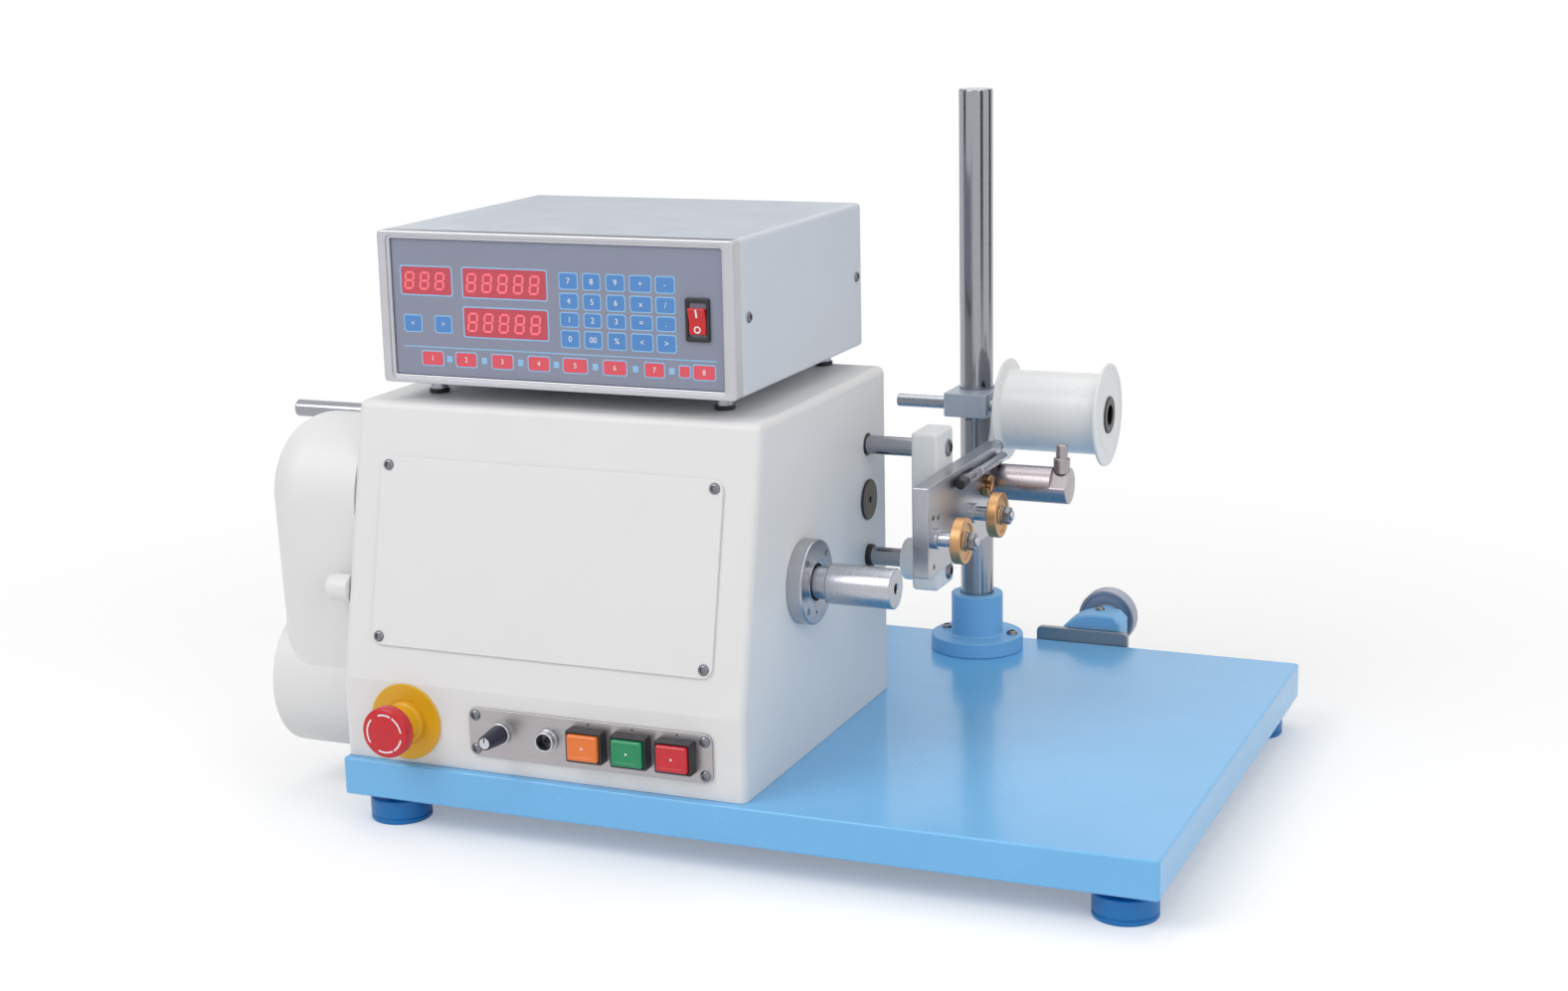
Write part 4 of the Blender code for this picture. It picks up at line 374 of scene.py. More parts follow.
# shade in screen values; gloss is the roughness in the middle of its drift; grain is lines or dots a metre
finishes = {
    "basePaint": dict(slot="base_paint", shade=(116, 190, 243), gloss=0.24, grain=1400, depth=0.03,
                      drift=0.05, coat=0.25),
    "castBlue": dict(slot="cast_blue", shade=(128, 190, 238), gloss=0.42, grain=900, depth=0.08,
                     drift=0.08),
    "footBlue": dict(slot="foot", shade=(0, 114, 184), gloss=0.38, grain=1600, depth=0.03, drift=0.08,
                     coat=0.1),
    "housingPaint": dict(slot="cream_paint", shade=(233, 233, 233), gloss=0.42, grain=1100, depth=0.05,
                         drift=0.02),
    "boxPaint": dict(slot="cream_paint", shade=(214, 220, 229), gloss=0.42, grain=1100, depth=0.05,
                     drift=0.02),
    "panelFoil": dict(slot="panel_foil", shade=(140, 145, 165), gloss=0.38, grain=2400, depth=0.02,
                      drift=0.04),
    "frameAluminium": dict(slot="bright_aluminium", shade=(198, 199, 205), gloss=0.34, metal=0.6,
                           kind="brushed",
                           stretch=(6, 900, 900), depth=0.02, drift=0.06),
    "switchSteel": dict(slot="switch_steel", shade=(176, 172, 174), gloss=0.36, metal=0.9,
                        kind="brushed",
                        stretch=(8, 1100, 1100), depth=0.03, drift=0.16),
    "plateSteel": dict(slot="ground_steel", shade=(178, 180, 186), gloss=0.30, metal=1.0,
                       kind="brushed",
                       stretch=(900, 10, 900), depth=0.02, drift=0.05),
    "groundSteel": dict(slot="ground_steel", shade=(182, 184, 191), gloss=0.26, metal=1.0,
                        kind="turned",
                        grain=5.0, depth=0.012, drift=0.10),
    "polishedSteel": dict(slot="ground_steel", shade=(158, 160, 166), gloss=0.17, metal=1.0,
                          kind="turned",
                          grain=3.0, depth=0.004, drift=0.06),
    "darkBar": dict(slot="ground_steel", shade=(172, 165, 168), gloss=0.30, metal=1.0, kind="turned",
                    grain=5.0, depth=0.012, drift=0.16),
    "screwSteel": dict(slot="ground_steel", shade=(126, 128, 134), gloss=0.30, metal=1.0, kind="turned",
                       grain=9.0, depth=0.01, drift=0.12),
    "gearSteel": dict(slot="gear_steel", shade=(150, 152, 156), gloss=0.36, metal=1.0, grain=900,
                      depth=0.02,
                      drift=0.10),
    "blackPlastic": dict(slot="black_plastic", shade=(34, 35, 40), gloss=0.40, grain=1800, depth=0.03,
                         drift=0.15),
    "knobPlastic": dict(slot="black_plastic", shade=(30, 32, 52), gloss=0.34, grain=1800, depth=0.02,
                        drift=0.15),
    "socketMetal": dict(slot="socket_metal", shade=(196, 198, 204), gloss=0.22, metal=1.0,
                        kind="turned",
                        grain=7.0, depth=0.01, drift=0.12),
    "stopYellow": dict(slot="estop_yellow", shade=(228, 174, 30), gloss=0.36, grain=1800, depth=0.02,
                       drift=0.05),
    "stopRed": dict(slot="estop_red", shade=(206, 26, 40), gloss=0.24, grain=1800, depth=0.01,
                    drift=0.06),
    "capOrange": dict(slot="orange_cap", shade=(240, 124, 52), gloss=0.30, grain=1800, depth=0.02,
                      drift=0.05),
    "capGreen": dict(slot="green_cap", shade=(22, 140, 92), gloss=0.30, grain=1800, depth=0.02,
                     drift=0.05),
    "capRed": dict(slot="red_cap", shade=(206, 36, 48), gloss=0.30, grain=1800, depth=0.02, drift=0.05),
    "motorBlack": dict(slot="motor_black", shade=(44, 45, 48), gloss=0.50, grain=700, depth=0.06,
                       drift=0.12),
    "beltRubber": dict(slot="belt_rubber", shade=(30, 30, 32), gloss=0.72, grain=900, depth=0.08,
                       drift=0.15),
    "rollerBrass": dict(slot="yellow_brass", shade=(200, 156, 112), gloss=0.40, metal=1.0,
                        kind="turned",
                        grain=5.0, depth=0.014, drift=0.12),
    "whiteNylon": dict(slot="white_nylon", shade=(232, 234, 234), gloss=0.36, grain=900, depth=0.02,
                       drift=0.03),
    "spoolPlastic": dict(slot="white_nylon", shade=(236, 238, 238), gloss=0.30, grain=1200, depth=0.01,
                         drift=0.03),
    "clampPaint": dict(slot="clamp_paint", shade=(190, 199, 212), gloss=0.36, metal=0.3, grain=900,
                       depth=0.04,
                       drift=0.05),
    "bushDark": dict(slot="bush_dark", shade=(66, 64, 64), gloss=0.36, metal=1.0, kind="turned",
                     grain=5.0,
                     depth=0.01, drift=0.15),
    "wheelGrey": dict(slot="wheel_grey", shade=(170, 174, 188), gloss=0.34, metal=0.6, kind="turned",
                      grain=4.0,
                      depth=0.02, drift=0.12),
    "windowRed": dict(slot="panel_foil", shade=(200, 75, 90), gloss=0.16, grain=1800, depth=0.0,
                      drift=0.06),
    "digitRed": dict(slot="panel_foil", shade=(240, 112, 122), gloss=0.30, grain=1800, depth=0.0,
                     drift=0.05,
                     glow=0.25),
    "keyBlue": dict(slot="panel_foil", shade=(85, 140, 205), gloss=0.34, grain=2200, depth=0.01,
                    drift=0.06),
    "keyRed": dict(slot="panel_foil", shade=(228, 88, 102), gloss=0.34, grain=2200, depth=0.01,
                   drift=0.06),
    "keyEdge": dict(slot="panel_foil", shade=(150, 196, 236), gloss=0.36, grain=2200, depth=0.01,
                    drift=0.05),
    "markWhite": dict(slot="panel_foil", shade=(238, 240, 242), gloss=0.42, grain=2200, depth=0.01,
                      drift=0.03),
    # Dark print marks and parts, and the thin discs that paint the shade inside holes
    "darkMarksAndHoleShade": dict(slot="black_plastic", shade=(24, 24, 26), gloss=0.55, grain=2200, depth=0.01,
                     drift=0.10),
    "rockerRed": dict(slot="estop_red", shade=(206, 30, 36), gloss=0.22, grain=1800, depth=0.01,
                      drift=0.06),
}


def finished(name, slot, shade, gloss, metal=0.0, kind="grain", grain=1000.0, stretch=(1, 1, 1),
             depth=0.02, drift=0.05, glow=0.0, coat=0.0):
    # Tone mixes a darker and a lighter shade, Gloss moves the roughness, Height lifts the surface
    material = bpy.data.materials.new(name)
    material.use_nodes = True
    tree = material.node_tree
    shader = tree.nodes["Principled BSDF"]
    group = tree.nodes.new("ShaderNodeGroup")
    group.node_tree = groups[kind]
    if kind == "turned":
        source = tree.nodes.new("ShaderNodeAttribute")
        source.attribute_name = "turning"
        tree.links.new(source.outputs["Vector"], group.inputs["Vector"])
        group.inputs["Lines"].default_value = grain
    else:
        source = tree.nodes.new("ShaderNodeTexCoord")
        mapping = tree.nodes.new("ShaderNodeMapping")
        mapping.inputs["Scale"].default_value = stretch
        tree.links.new(source.outputs["Object"], mapping.inputs["Vector"])
        tree.links.new(mapping.outputs["Vector"], group.inputs["Vector"])
        if kind == "grain":
            group.inputs["Grain"].default_value = grain
    mix = tree.nodes.new("ShaderNodeMix")
    mix.data_type = "RGBA"
    base = np.array(linear(shade))
    mix.inputs["A"].default_value = (*np.clip(base * (1 - 2 * drift), 0, 1), 1)
    mix.inputs["B"].default_value = (*np.clip(base * (1 + 2 * drift), 0, 1), 1)
    tree.links.new(group.outputs["Tone"], mix.inputs["Factor"])
    tree.links.new(mix.outputs["Result"], shader.inputs["Base Color"])
    rough = tree.nodes.new("ShaderNodeMapRange")
    rough.inputs["From Min"].default_value = 0.3
    rough.inputs["From Max"].default_value = 0.7
    rough.inputs["To Min"].default_value = gloss * 0.86
    rough.inputs["To Max"].default_value = gloss * 1.16
    tree.links.new(group.outputs["Gloss"], rough.inputs["Value"])
    tree.links.new(rough.outputs["Result"], shader.inputs["Roughness"])
    shader.inputs["Metallic"].default_value = metal
    shader.inputs["Coat Weight"].default_value = coat
    shader.inputs["Coat Roughness"].default_value = 0.1
    if depth:
        bump = tree.nodes.new("ShaderNodeBump")
        bump.inputs["Strength"].default_value = 0.6
        bump.inputs["Distance"].default_value = depth / 1000
        tree.links.new(group.outputs["Height"], bump.inputs["Height"])
        tree.links.new(bump.outputs["Normal"], shader.inputs["Normal"])
    if glow:
        shader.inputs["Emission Color"].default_value = (*linear(shade), 1)
        shader.inputs["Emission Strength"].default_value = glow
    return material


looks = {name: finished(name, **values) for name, values in finishes.items()}
print("finishes made:", len(looks))


# Base plate and feet

base = dict(length=650, depth=486, thickness=30, corner=3.2, edge=2.0)
slab("basePlate", rectangle(0, base["length"], 0, base["depth"], base["corner"]), -base["thickness"],
     0, "z", "basePaint", nodes="base_plate", edges=(base["edge"], base["edge"]))

foot = dict(inset=31.5, radius=24.0, body=19.0, boss=5.5, bossRadius=12.0, edge=1.6, groove=0.9)
footTop = -base["thickness"] - 0.3
footSeat = footTop - foot["boss"]
footLow = footSeat - foot["body"]
footProfile = [(0, footTop), (foot["bossRadius"], footTop, 0.5), (foot["bossRadius"], footSeat, 0.8),
               (foot["radius"], footSeat, foot["edge"]),
               (foot["radius"], footLow + 5.2, 0.3), (foot["radius"] - foot["groove"], footLow + 4.6,
                                                      0.3),
               (foot["radius"] - foot["groove"], footLow + 3.9, 0.3), (foot["radius"], footLow + 3.3,
                                                                       0.3),
               (foot["radius"], footLow, 1.2), (foot["radius"] - 4, footLow, 0.3), (0, footLow)]
for title, x, y in (("front_left_foot", foot["inset"], foot["inset"]),
                    ("rear_left_foot", foot["inset"], base["depth"] - foot["inset"]),
                    ("front_right_foot", base["length"] - foot["inset"], foot["inset"]),
                    ("rear_right_foot", base["length"] - foot["inset"], base["depth"] - foot["inset"])):
    turned(title + "_moulding", footProfile, (x, y, 0), "z", "footBlue", nodes=title)
print("base plate and feet made")


# Drive housing, front cover

shell = dict(length=340, front=7, rear=310, top=274.3, band=63.8, slopeTop=53, low=0.3, edge=6.0)
side = rounded([(shell["rear"], shell["top"], 6.4), (shell["slopeTop"], shell["top"], 6.4),
                (shell["front"], shell["band"], 5), (shell["front"], -7.5, 6.4),
                (shell["rear"], -7.5, 6.4)], 6, loop=True)
housingRings = slabRings(side, 0, shell["length"], "x", (shell["edge"], shell["edge"]), steps=6)
housingRings[..., 2] = np.maximum(housingRings[..., 2], shell["low"])  # the sheet ends above the base
piece("housingShell", skinned("housingShell", [housingRings]), "housingPaint", nodes="housing")

slopeUp = np.array([0, shell["slopeTop"] - shell["front"], shell["top"] - shell["band"]], float)
slopeUp /= np.linalg.norm(slopeUp)
slopeOut = np.cross(axisX, slopeUp)
slopeWay = (axisX, slopeUp, slopeOut)
slopeStart = np.array([0, shell["front"], shell["band"]], float)
cover = dict(left=25.5, right=313.5, low=28, high=173.5, corner=8, thickness=2, edge=0.5, screw=6.5)
slab("frontCover", rectangle(cover["left"], cover["right"], cover["low"], cover["high"],
                             cover["corner"]),
     0.3, 0.3 + cover["thickness"], slopeWay, "housingPaint", nodes="front_cover",
     edges=(cover["edge"], cover["edge"]), start=slopeStart)
coverSeats = [slopeStart + axisX * x + slopeUp * up + slopeOut * (0.3 + cover["thickness"])
              for x in (cover["left"] + cover["screw"], cover["right"] - cover["screw"])
              for up in (cover["low"] + cover["screw"], cover["high"] - cover["screw"])]
screws("frontCoverScrews", coverSeats, slopeWay, 4.3, 2.4)
print("housing made")


# Switch plate and its switches

switchPlate = dict(left=112.5, right=315.5, low=13.5, high=51.5, corner=6.5, back=6.7, face=4.7,
                   line=33.2)
face = -switchPlate["face"]  # heights run towards the front, so a face has minus its Y
slab("switchPlate", rectangle(switchPlate["left"], switchPlate["right"], switchPlate["low"],
                              switchPlate["high"], switchPlate["corner"]), -switchPlate["back"], face,
     "-y", "switchSteel", nodes="switch_plate", edges=(0.2, 0.5))
screws("switchPlateScrews", [(x, switchPlate["face"], z)
                             for x in (switchPlate["left"] + 5.8, switchPlate["right"] - 5.8)
                             for z in (switchPlate["low"] + 5.8, switchPlate["high"] - 5.8)],
       "-y", 4.3, 2.4)

seatY = 4.4
line = switchPlate["line"]
knob = dict(x=139.5, skirt=8.8, skirtLength=3.0, low=7.6, tip=5.4, length=25.0, flutes=18, depth=0.35)
turned("knobSkirt", [(0, 0), (knob["skirt"], 0, 0.3), (knob["skirt"], knob["skirtLength"], 0.7),
                     (knob["low"] - 0.5, knob["skirtLength"], 0.2), (0, knob["skirtLength"])],
       (knob["x"], seatY, line), "-y", "socketMetal", "speed_knob", "speed_knob")
knobProfile = [(0, knob["skirtLength"]), (knob["low"], knob["skirtLength"], 0.3),
               (knob["tip"] + 0.35, knob["length"] - 3.2, 0.3), (knob["tip"], knob["length"] - 0.6,
                                                                 0.5),
               (0, knob["length"] - 0.6)]
rings, marks = turnedRings(knobProfile, (0, 0, 0), "-y", 144)
turn = np.linspace(0, 2 * pi, 144, endpoint=False)
along = -rings[:, 0, 1]
body = np.clip((along - 4.5) / 1.5, 0, 1) * np.clip((knob["length"] - 4.2 - along) / 1.5, 0, 1)
ripple = 1 - knob["depth"] / 6.5 * body[:, None] * (0.5 + 0.5 * np.cos(turn * knob["flutes"]))  # flutes
rings[..., 0] *= ripple
rings[..., 2] *= ripple
rings = rings + np.array([knob["x"], seatY, line])
piece("knobGrip", skinned("knobGrip", [rings], marks=[marks]), "knobPlastic", "speed_knob")
turned("knobFace", [(0, knob["length"] - 0.7), (4.3, knob["length"] - 0.7), (4.3, knob["length"], 0.35),
                    (0, knob["length"])], (knob["x"], seatY, line), "-y", "socketMetal", "speed_knob")
slabs("knobPointer", [rectangle(knob["x"] - 0.5, knob["x"] + 0.5, line + 0.6, line + 4.2, 0.2)],
      -seatY + knob["length"] - 0.05, -seatY + knob["length"] + 0.0, "-y", "darkMarksAndHoleShade", "speed_knob",
      edges=(0.01, 0.01))

socket = dict(x=180.4, radius=8.6, proud=8.0, bore=5.5)
turned("pedalSocketShell", [(socket["bore"] + 0.9, -2), (socket["radius"] - 1.2, -2),
                            (socket["radius"] - 1.2, 0, 0.1),
                            (socket["radius"], 0, 0.3), (socket["radius"], 3.0, 0.5), (7.9, 3.2, 0.1),
                            (7.9, socket["proud"] - 0.2, 0.6), (socket["bore"] + 0.9,
                                                                socket["proud"] - 0.2, 0.3)],
       (socket["x"], seatY, line), "-y", "socketMetal", nodes="pedal_socket", loop=True)
turned("pedalSocketInsert", [(socket["bore"] + 0.85, -15.5), (socket["bore"] + 0.85,
                                                              socket["proud"] - 0.6, 0.3),
                             (socket["bore"], socket["proud"] - 0.6, 0.3), (socket["bore"], -13.8),
                             (0, -13.8), (0, -15.5)], (socket["x"], seatY, line), "-y", "blackPlastic")
turned("pedalSocketCore", [(0, -13.7), (2.6, -13.7), (2.6, 4.5, 0.5), (1.2, 4.5, 0.2), (1.2, -2),
                           (0, -2)],
       (socket["x"], seatY, line), "-y", "blackPlastic")

bezel = dict(proud=9.0, wellWidth=25.6, wellHeight=20.6, corner=1.6)
cap = dict(width=25, height=20, proud=3.0, depth=8.6, corner=1.5)
for title, x, look in (("forward_button", 214.3, "capOrange"), ("start_button", 250.9, "capGreen"),
                       ("stop_button", 287.5, "capRed")):
    outer = anticlockwise(rectangle(x - 15, x + 15, line - 12.5, line + 12.5, bezel["corner"]))
    well = anticlockwise(rectangle(x - bezel["wellWidth"] / 2, x + bezel["wellWidth"] / 2,
                                   line - bezel["wellHeight"] / 2, line + bezel["wellHeight"] / 2, 1.0))
    front = -seatY + bezel["proud"]
    openFrame(title + "_bezelMoulding", [
        (outer, 0, -seatY), (outer, 0, front - 1.4), (outer, 0, front - 1.15), (outer, 0.16,
                                                                                front - 0.6),
        (outer, 0.6, front - 0.16), (outer, 1.15, front), (outer, 1.4, front), (well, -0.5, front),
        (well, -0.3, front - 0.05), (well, 0, front - 0.4), (well, 0, front - 0.7), (well, 0, -seatY)],
        "blackPlastic", "-y", nodes=title + "_bezel")
    capFront = front + cap["proud"]
    outline = rectangle(x - cap["width"] / 2, x + cap["width"] / 2, line - cap["height"] / 2,
                        line + cap["height"] / 2, cap["corner"])
    outline = anticlockwise(outline)
    rows = rounded([(0.6, capFront - cap["depth"]), (0, capFront - cap["depth"], 0.3),
                    (0, capFront - 0.9, 0.4), (1.3, capFront, 0.5), (2.9, capFront, 0.2),
                    (3.3, capFront - 0.35, 0.2), (4.4, capFront - 0.35)], 4)
    flat = np.stack([drawnIn(outline, max(inset, 0)) for inset in rows[:, 0]])
    middle = np.array([x, line])
    flat[rows[:, 0] > 1.4] = middle + (outline - middle)[None] * (
        1 - rows[rows[:, 0] > 1.4, 0][:, None, None] / np.array([cap["width"], cap["height"]]) * 2)
    grid = stood(flat, rows[:, 1], "-y")
    piece(title + "_cap", skinned(title + "_cap", [grid]), look, title, title)
    turned(title + "_dot", [(0, 0), (0.9, 0), (0.9, 0.35, 0.2), (0, 0.35)],
           (x, -capFront + 0.36, line), "-y", "markWhite", title, sides=24)
slabs("switchMarks", [circle(x, 48.6, 0.8, 20) for x in (214.3, 250.9, 287.5)], face - 0.02,
      face + 0.06,
      "-y", "darkMarksAndHoleShade", edges=(0.01, 0.01))
print("switch plate made")


# Emergency stop

stop = dict(x=56, z=33.5, disc=30, thickness=2, collarLow=16.5, collarTop=14, collar=13.5, bore=9.3,
            head=20, gap=7, headThickness=10)
stopPlace = (stop["x"], 6.7, stop["z"])
collarTop = stop["thickness"] + stop["collar"]
turned("stopDisc", [(stop["bore"], 0), (stop["disc"], 0, 0.2), (stop["disc"], stop["thickness"], 0.5),
                    (stop["collarLow"] + 1.4, stop["thickness"], 0.1), (stop["collarLow"] + 0.9, 1.6,
                                                                        0.1),
                    (stop["collarLow"], 1.6, 0.1), (stop["collarLow"], stop["thickness"] + 3.4, 0.5),
                    (stop["collarTop"] + 0.5, stop["thickness"] + 4.6, 0.5), (stop["collarTop"],
                                                                              collarTop, 0.8),
                    (stop["bore"], collarTop, 0.3)], stopPlace, "-y", "stopYellow", nodes="estop_base",
       loop=True, sides=96)
headLow = collarTop + stop["gap"]
headTop = headLow + stop["headThickness"]
turned("stopStem", [(0, collarTop - 9), (stop["bore"] - 0.4, collarTop - 9), (stop["bore"] - 0.4,
                                                                              headLow + 1, 0.1),
                    (0, headLow + 1)], stopPlace, "-y", "blackPlastic", "estop_head")
turned("stopHead", [(0, headLow + 1.2), (17.4, headLow + 1.2, 0.2), (17.8, headLow, 0.5), (stop["head"],
                                                                                           headLow, 0.9),
                    (stop["head"], headTop, 3.0), (14.6, headTop + 0.45, 1.0), (8, headTop + 1.1, 6),
                    (0, headTop + 1.5)],
       stopPlace, "-y", "stopRed", "estop_head", "estop_head", sides=96)


def arcBand(x, z, radius, width, start, end, steps=14):
    # The outer arc one way and the inner arc back, both about the same centre
    turn = np.linspace(radians(start), radians(end), steps)
    outer = np.stack([x + (radius + width / 2) * np.cos(turn), z + (radius + width / 2) * np.sin(turn)],
                     -1)
    inner = np.stack([x + (radius - width / 2) * np.cos(turn), z + (radius - width / 2) * np.sin(turn)],
                     -1)
    return np.vstack([outer, inner[::-1]])


# Long arcs near the rim, two of them with a slim joint; angles run from the right, upwards
arcMark = dict(radius=14.8, width=1.3, spans=((137, 213), (8, 60), (66, 108), (-112, -63), (-57, -14)))
arcs = [arcBand(stop["x"], stop["z"], arcMark["radius"], arcMark["width"], start, end)
        for start, end in arcMark["spans"]]
arcHeight = -6.7 + headTop + 0.55
slabs("stopArcs", arcs, arcHeight - 0.5, arcHeight, "-y", "markWhite", "estop_head", edges=(0.02, 0.04))
print("emergency stop made")


# Control box

box = dict(left=21.5, right=318.5, low=289, high=406, front=58, frameRear=70, shellFront=70.3, rear=315,
           edge=3.5, side=10, rail=6)
outline = rectangle(box["left"], box["right"], box["low"], box["high"], box["edge"] + 0.4, 6)
slab("controlBoxShell", outline, -box["rear"], -box["shellFront"], "-y", "boxPaint",
     nodes="control_box",
     edges=(box["edge"], 0.3), steps=6)
outer = anticlockwise(rectangle(box["left"], box["right"], box["low"], box["high"], box["edge"]))
inner = anticlockwise(rectangle(box["left"] + box["side"], box["right"] - box["side"],
                                box["low"] + box["rail"], box["high"] - box["rail"], 1.6))
front = -box["front"]
openFrame("controlBoxFrame", [
    (outer, 0, -box["frameRear"]), (outer, 0, front - 1.4), (outer, 0, front - 1.15), (outer, 0.16,
                                                                                       front - 0.6),
    (outer, 0.6, front - 0.16), (outer, 1.15, front), (outer, 1.4, front), (inner, -3.0, front),
    (inner, -2.8, front - 0.05), (inner, -2.4, front - 1.3), (inner, -2.2, front - 1.4),
    (inner, -0.6, front - 1.4), (inner, -0.3, front - 1.5), (inner, 0, front - 1.8), (inner, 0,
                                                                                      front - 2.2),
    (inner, 0, -box["frameRear"])], "frameAluminium", "-y", nodes="control_box_frame")
for index, (x, y) in enumerate(((45, 100), (45, 297), (290, 100), (290, 297))):
    turned(f"boxFootPost{index + 1}", [(0, 277.5), (6.8, 277.5, 0.3), (6.8, 289.2), (0, 289.2)],
           (x, y, 0), "z", "groundSteel", sides=40)
    turned(f"boxFootRing{index + 1}", [(0, 274.9), (8.1, 274.9, 0.4), (8.1, 277.7, 0.7), (0, 277.7)],
           (x, y, 0), "z", "blackPlastic", sides=40)
screws("boxScrewsRight", [(box["right"], y, 347.2) for y in (83.3, 302)], "x", 4.3, 2.4)
screws("boxScrewsLeft", [(box["left"], y, 347.2) for y in (83.3, 302)], "-x", 4.3, 2.4)

panel = dict(left=31.8, right=308.2, low=295.3, high=399.7, face=61.5, back=64.5)
panelFace = -panel["face"]
slab("controlPanelFoil", rectangle(panel["left"], panel["right"], panel["low"], panel["high"], 1.4),
     -panel["back"], panelFace, "-y", "panelFoil", nodes="control_panel", edges=(0.2, 0.2))

windows = [(39.5, 83.0, 357.4, 378.5, 3), (93.2, 164.2, 356.8, 378.8, 5), (92.9, 164.1, 326.6, 348.7,
                                                                           5)]
slabs("displayEdges", [rectangle(l - 1.1, r + 1.1, b - 1.1, t + 1.1, 2.2) for l, r, b, t, n in windows],
      panelFace - 0.05, panelFace + 0.10, "-y", "keyEdge", edges=(0.01, 0.05))
slabs("displayWindows", [rectangle(l, r, b, t, 1.6) for l, r, b, t, n in windows], panelFace - 0.05,
      panelFace + 0.18, "-y", "windowRed", edges=(0.01, 0.06))


def digitBars(x, z, width, height, thick, lean=0.12):
    # Seven pointed bars of a figure eight, each a hexagon along its line, leaned by a share of the height
    half = thick / 2 * 0.86
    gap = thick * 0.12
    ends = [((0, 0), (width, 0)), ((0, height / 2), (width, height / 2)), ((0, height),
                                                                           (width, height)),
            ((0, 0), (0, height / 2)), ((0, height / 2), (0, height)), ((width, 0),
                                                                        (width, height / 2)),
            ((width, height / 2), (width, height))]
    bars = []
    for a, b in ends:
        a, b = np.array(a, float), np.array(b, float)
        way = (b - a) / np.linalg.norm(b - a)
        across = np.array([-way[1], way[0]])
        a, b = a + way * gap, b - way * gap
        bar = np.array([a, a + way * half + across * half, b - way * half + across * half, b,
                        b - way * half - across * half, a + way * half - across * half])
        bar[:, 0] += bar[:, 1] * lean
        bars.append(bar + np.array([x, z]))
    return bars


digits = []
for left, right, low, high, count in windows:
    pitch = (right - left - 4) / count
    for index in range(count):
        digits += digitBars(left + 3.0 + index * pitch, low + 4.4, pitch * 0.52, high - low - 8.8, 2.0)
slabs("displayDigits", digits, panelFace + 0.1, panelFace + 0.26, "-y", "digitRed", edges=(0.01, 0.02))

keyColumns = [(174.6, 190.8), (194.3, 209.6), (213.6, 229.5), (232.9, 251.3), (253.9, 270.1)]
keyRows = [(365.4, 378.5), (350.5, 363.2), (337.2, 348.8), (321.5, 335.3)]
blueKeys = [(l, r, b, t) for b, t in keyRows for l, r in keyColumns]
blueKeys += [(39.7, 56, 328, 341.8), (66.8, 82.1, 328, 341.9)]
redKeys = [(l, r, 302.3, 314.5) for l, r in (
    (53.8, 73.5), (83.4, 102.6), (114.5, 133.8), (145.6, 164.9), (175.2, 196.7), (208.7, 229.1),
    (242.8, 260.0), (282.2, 301.1))]
smallKeys = [(271.0, 280.9, 303.4, 313.4)]
allKeys = blueKeys + redKeys + smallKeys
slabs("keyEdges", [rectangle(l, r, b, t, 2.0, 3) for l, r, b, t in allKeys], panelFace - 0.05,
      panelFace + 0.12, "-y", "keyEdge", edges=(0.01, 0.06))
slabs("blueKeys", [rectangle(l + 0.9, r - 0.9, b + 0.9, t - 0.9, 1.6, 3) for l, r, b, t in blueKeys],
      panelFace - 0.05, panelFace + 0.28, "-y", "keyBlue", edges=(0.01, 0.12))
slabs("redKeys", [rectangle(l + 0.9, r - 0.9, b + 0.9, t - 0.9, 1.6, 3) for l, r, b,
                  t in redKeys + smallKeys],
      panelFace - 0.05, panelFace + 0.28, "-y", "keyRed", edges=(0.01, 0.12))
signs = dict(low=305.9, high=310.9, half=2.3)
middles = [(first[1] + second[0]) / 2 for first, second in zip(redKeys[:-1], redKeys[1:-1] + smallKeys)]
slabs("panelSigns", [rectangle(x - signs["half"], x + signs["half"], signs["low"], signs["high"], 0.8,
                               3)
                     for x in middles], panelFace - 0.05, panelFace + 0.06, "-y", "keyEdge",
      edges=(0.01, 0.02))
slabs("panelLine", [rectangle(39, 302, 316.6, 317.5, 0.3, 2)], panelFace - 0.05, panelFace + 0.06, "-y",
      "keyEdge", edges=(0.01, 0.02))


def figures(name, words, height, body, look):
    # Flat figures from the built-in face, made a mesh, centred on each place and given a little thickness
    points, faces, first = [], [], 0
    for text, x, z, size in words:
        curve = bpy.data.curves.new(name, "FONT")
        curve.body = text
        curve.size = size
        curve.align_x = "CENTER"
        curve.align_y = "CENTER"
        curve.extrude = 0.06
        curve.resolution_u = 4
        drawn = bpy.data.objects.new(name + "Draft", curve)
        bpy.context.scene.collection.objects.link(drawn)
        mesh = bpy.data.meshes.new_from_object(
            drawn.evaluated_get(bpy.context.evaluated_depsgraph_get()))
        bpy.data.objects.remove(drawn, do_unlink=True)
        flat = np.zeros(len(mesh.vertices) * 3)
        mesh.vertices.foreach_get("co", flat)
        flat = flat.reshape(-1, 3)
        points.append(np.stack([x + flat[:, 0], -height - flat[:, 2], z + flat[:, 1]], -1))
        faces += [[v + first for v in polygon.vertices] for polygon in mesh.polygons]
        first += len(mesh.vertices)
        bpy.data.meshes.remove(mesh)
    mesh = bpy.data.meshes.new(name)
    mesh.from_pydata(((np.vstack(points) + machineCorner) / 1000).tolist(), [], faces)
    form = bmesh.new()
    form.from_mesh(mesh)
    bmesh.ops.remove_doubles(form, verts=form.verts, dist=1e-6)
    bmesh.ops.recalc_face_normals(form, faces=form.faces)
    form.to_mesh(mesh)
    form.free()
    return piece(name, mesh, look, body)


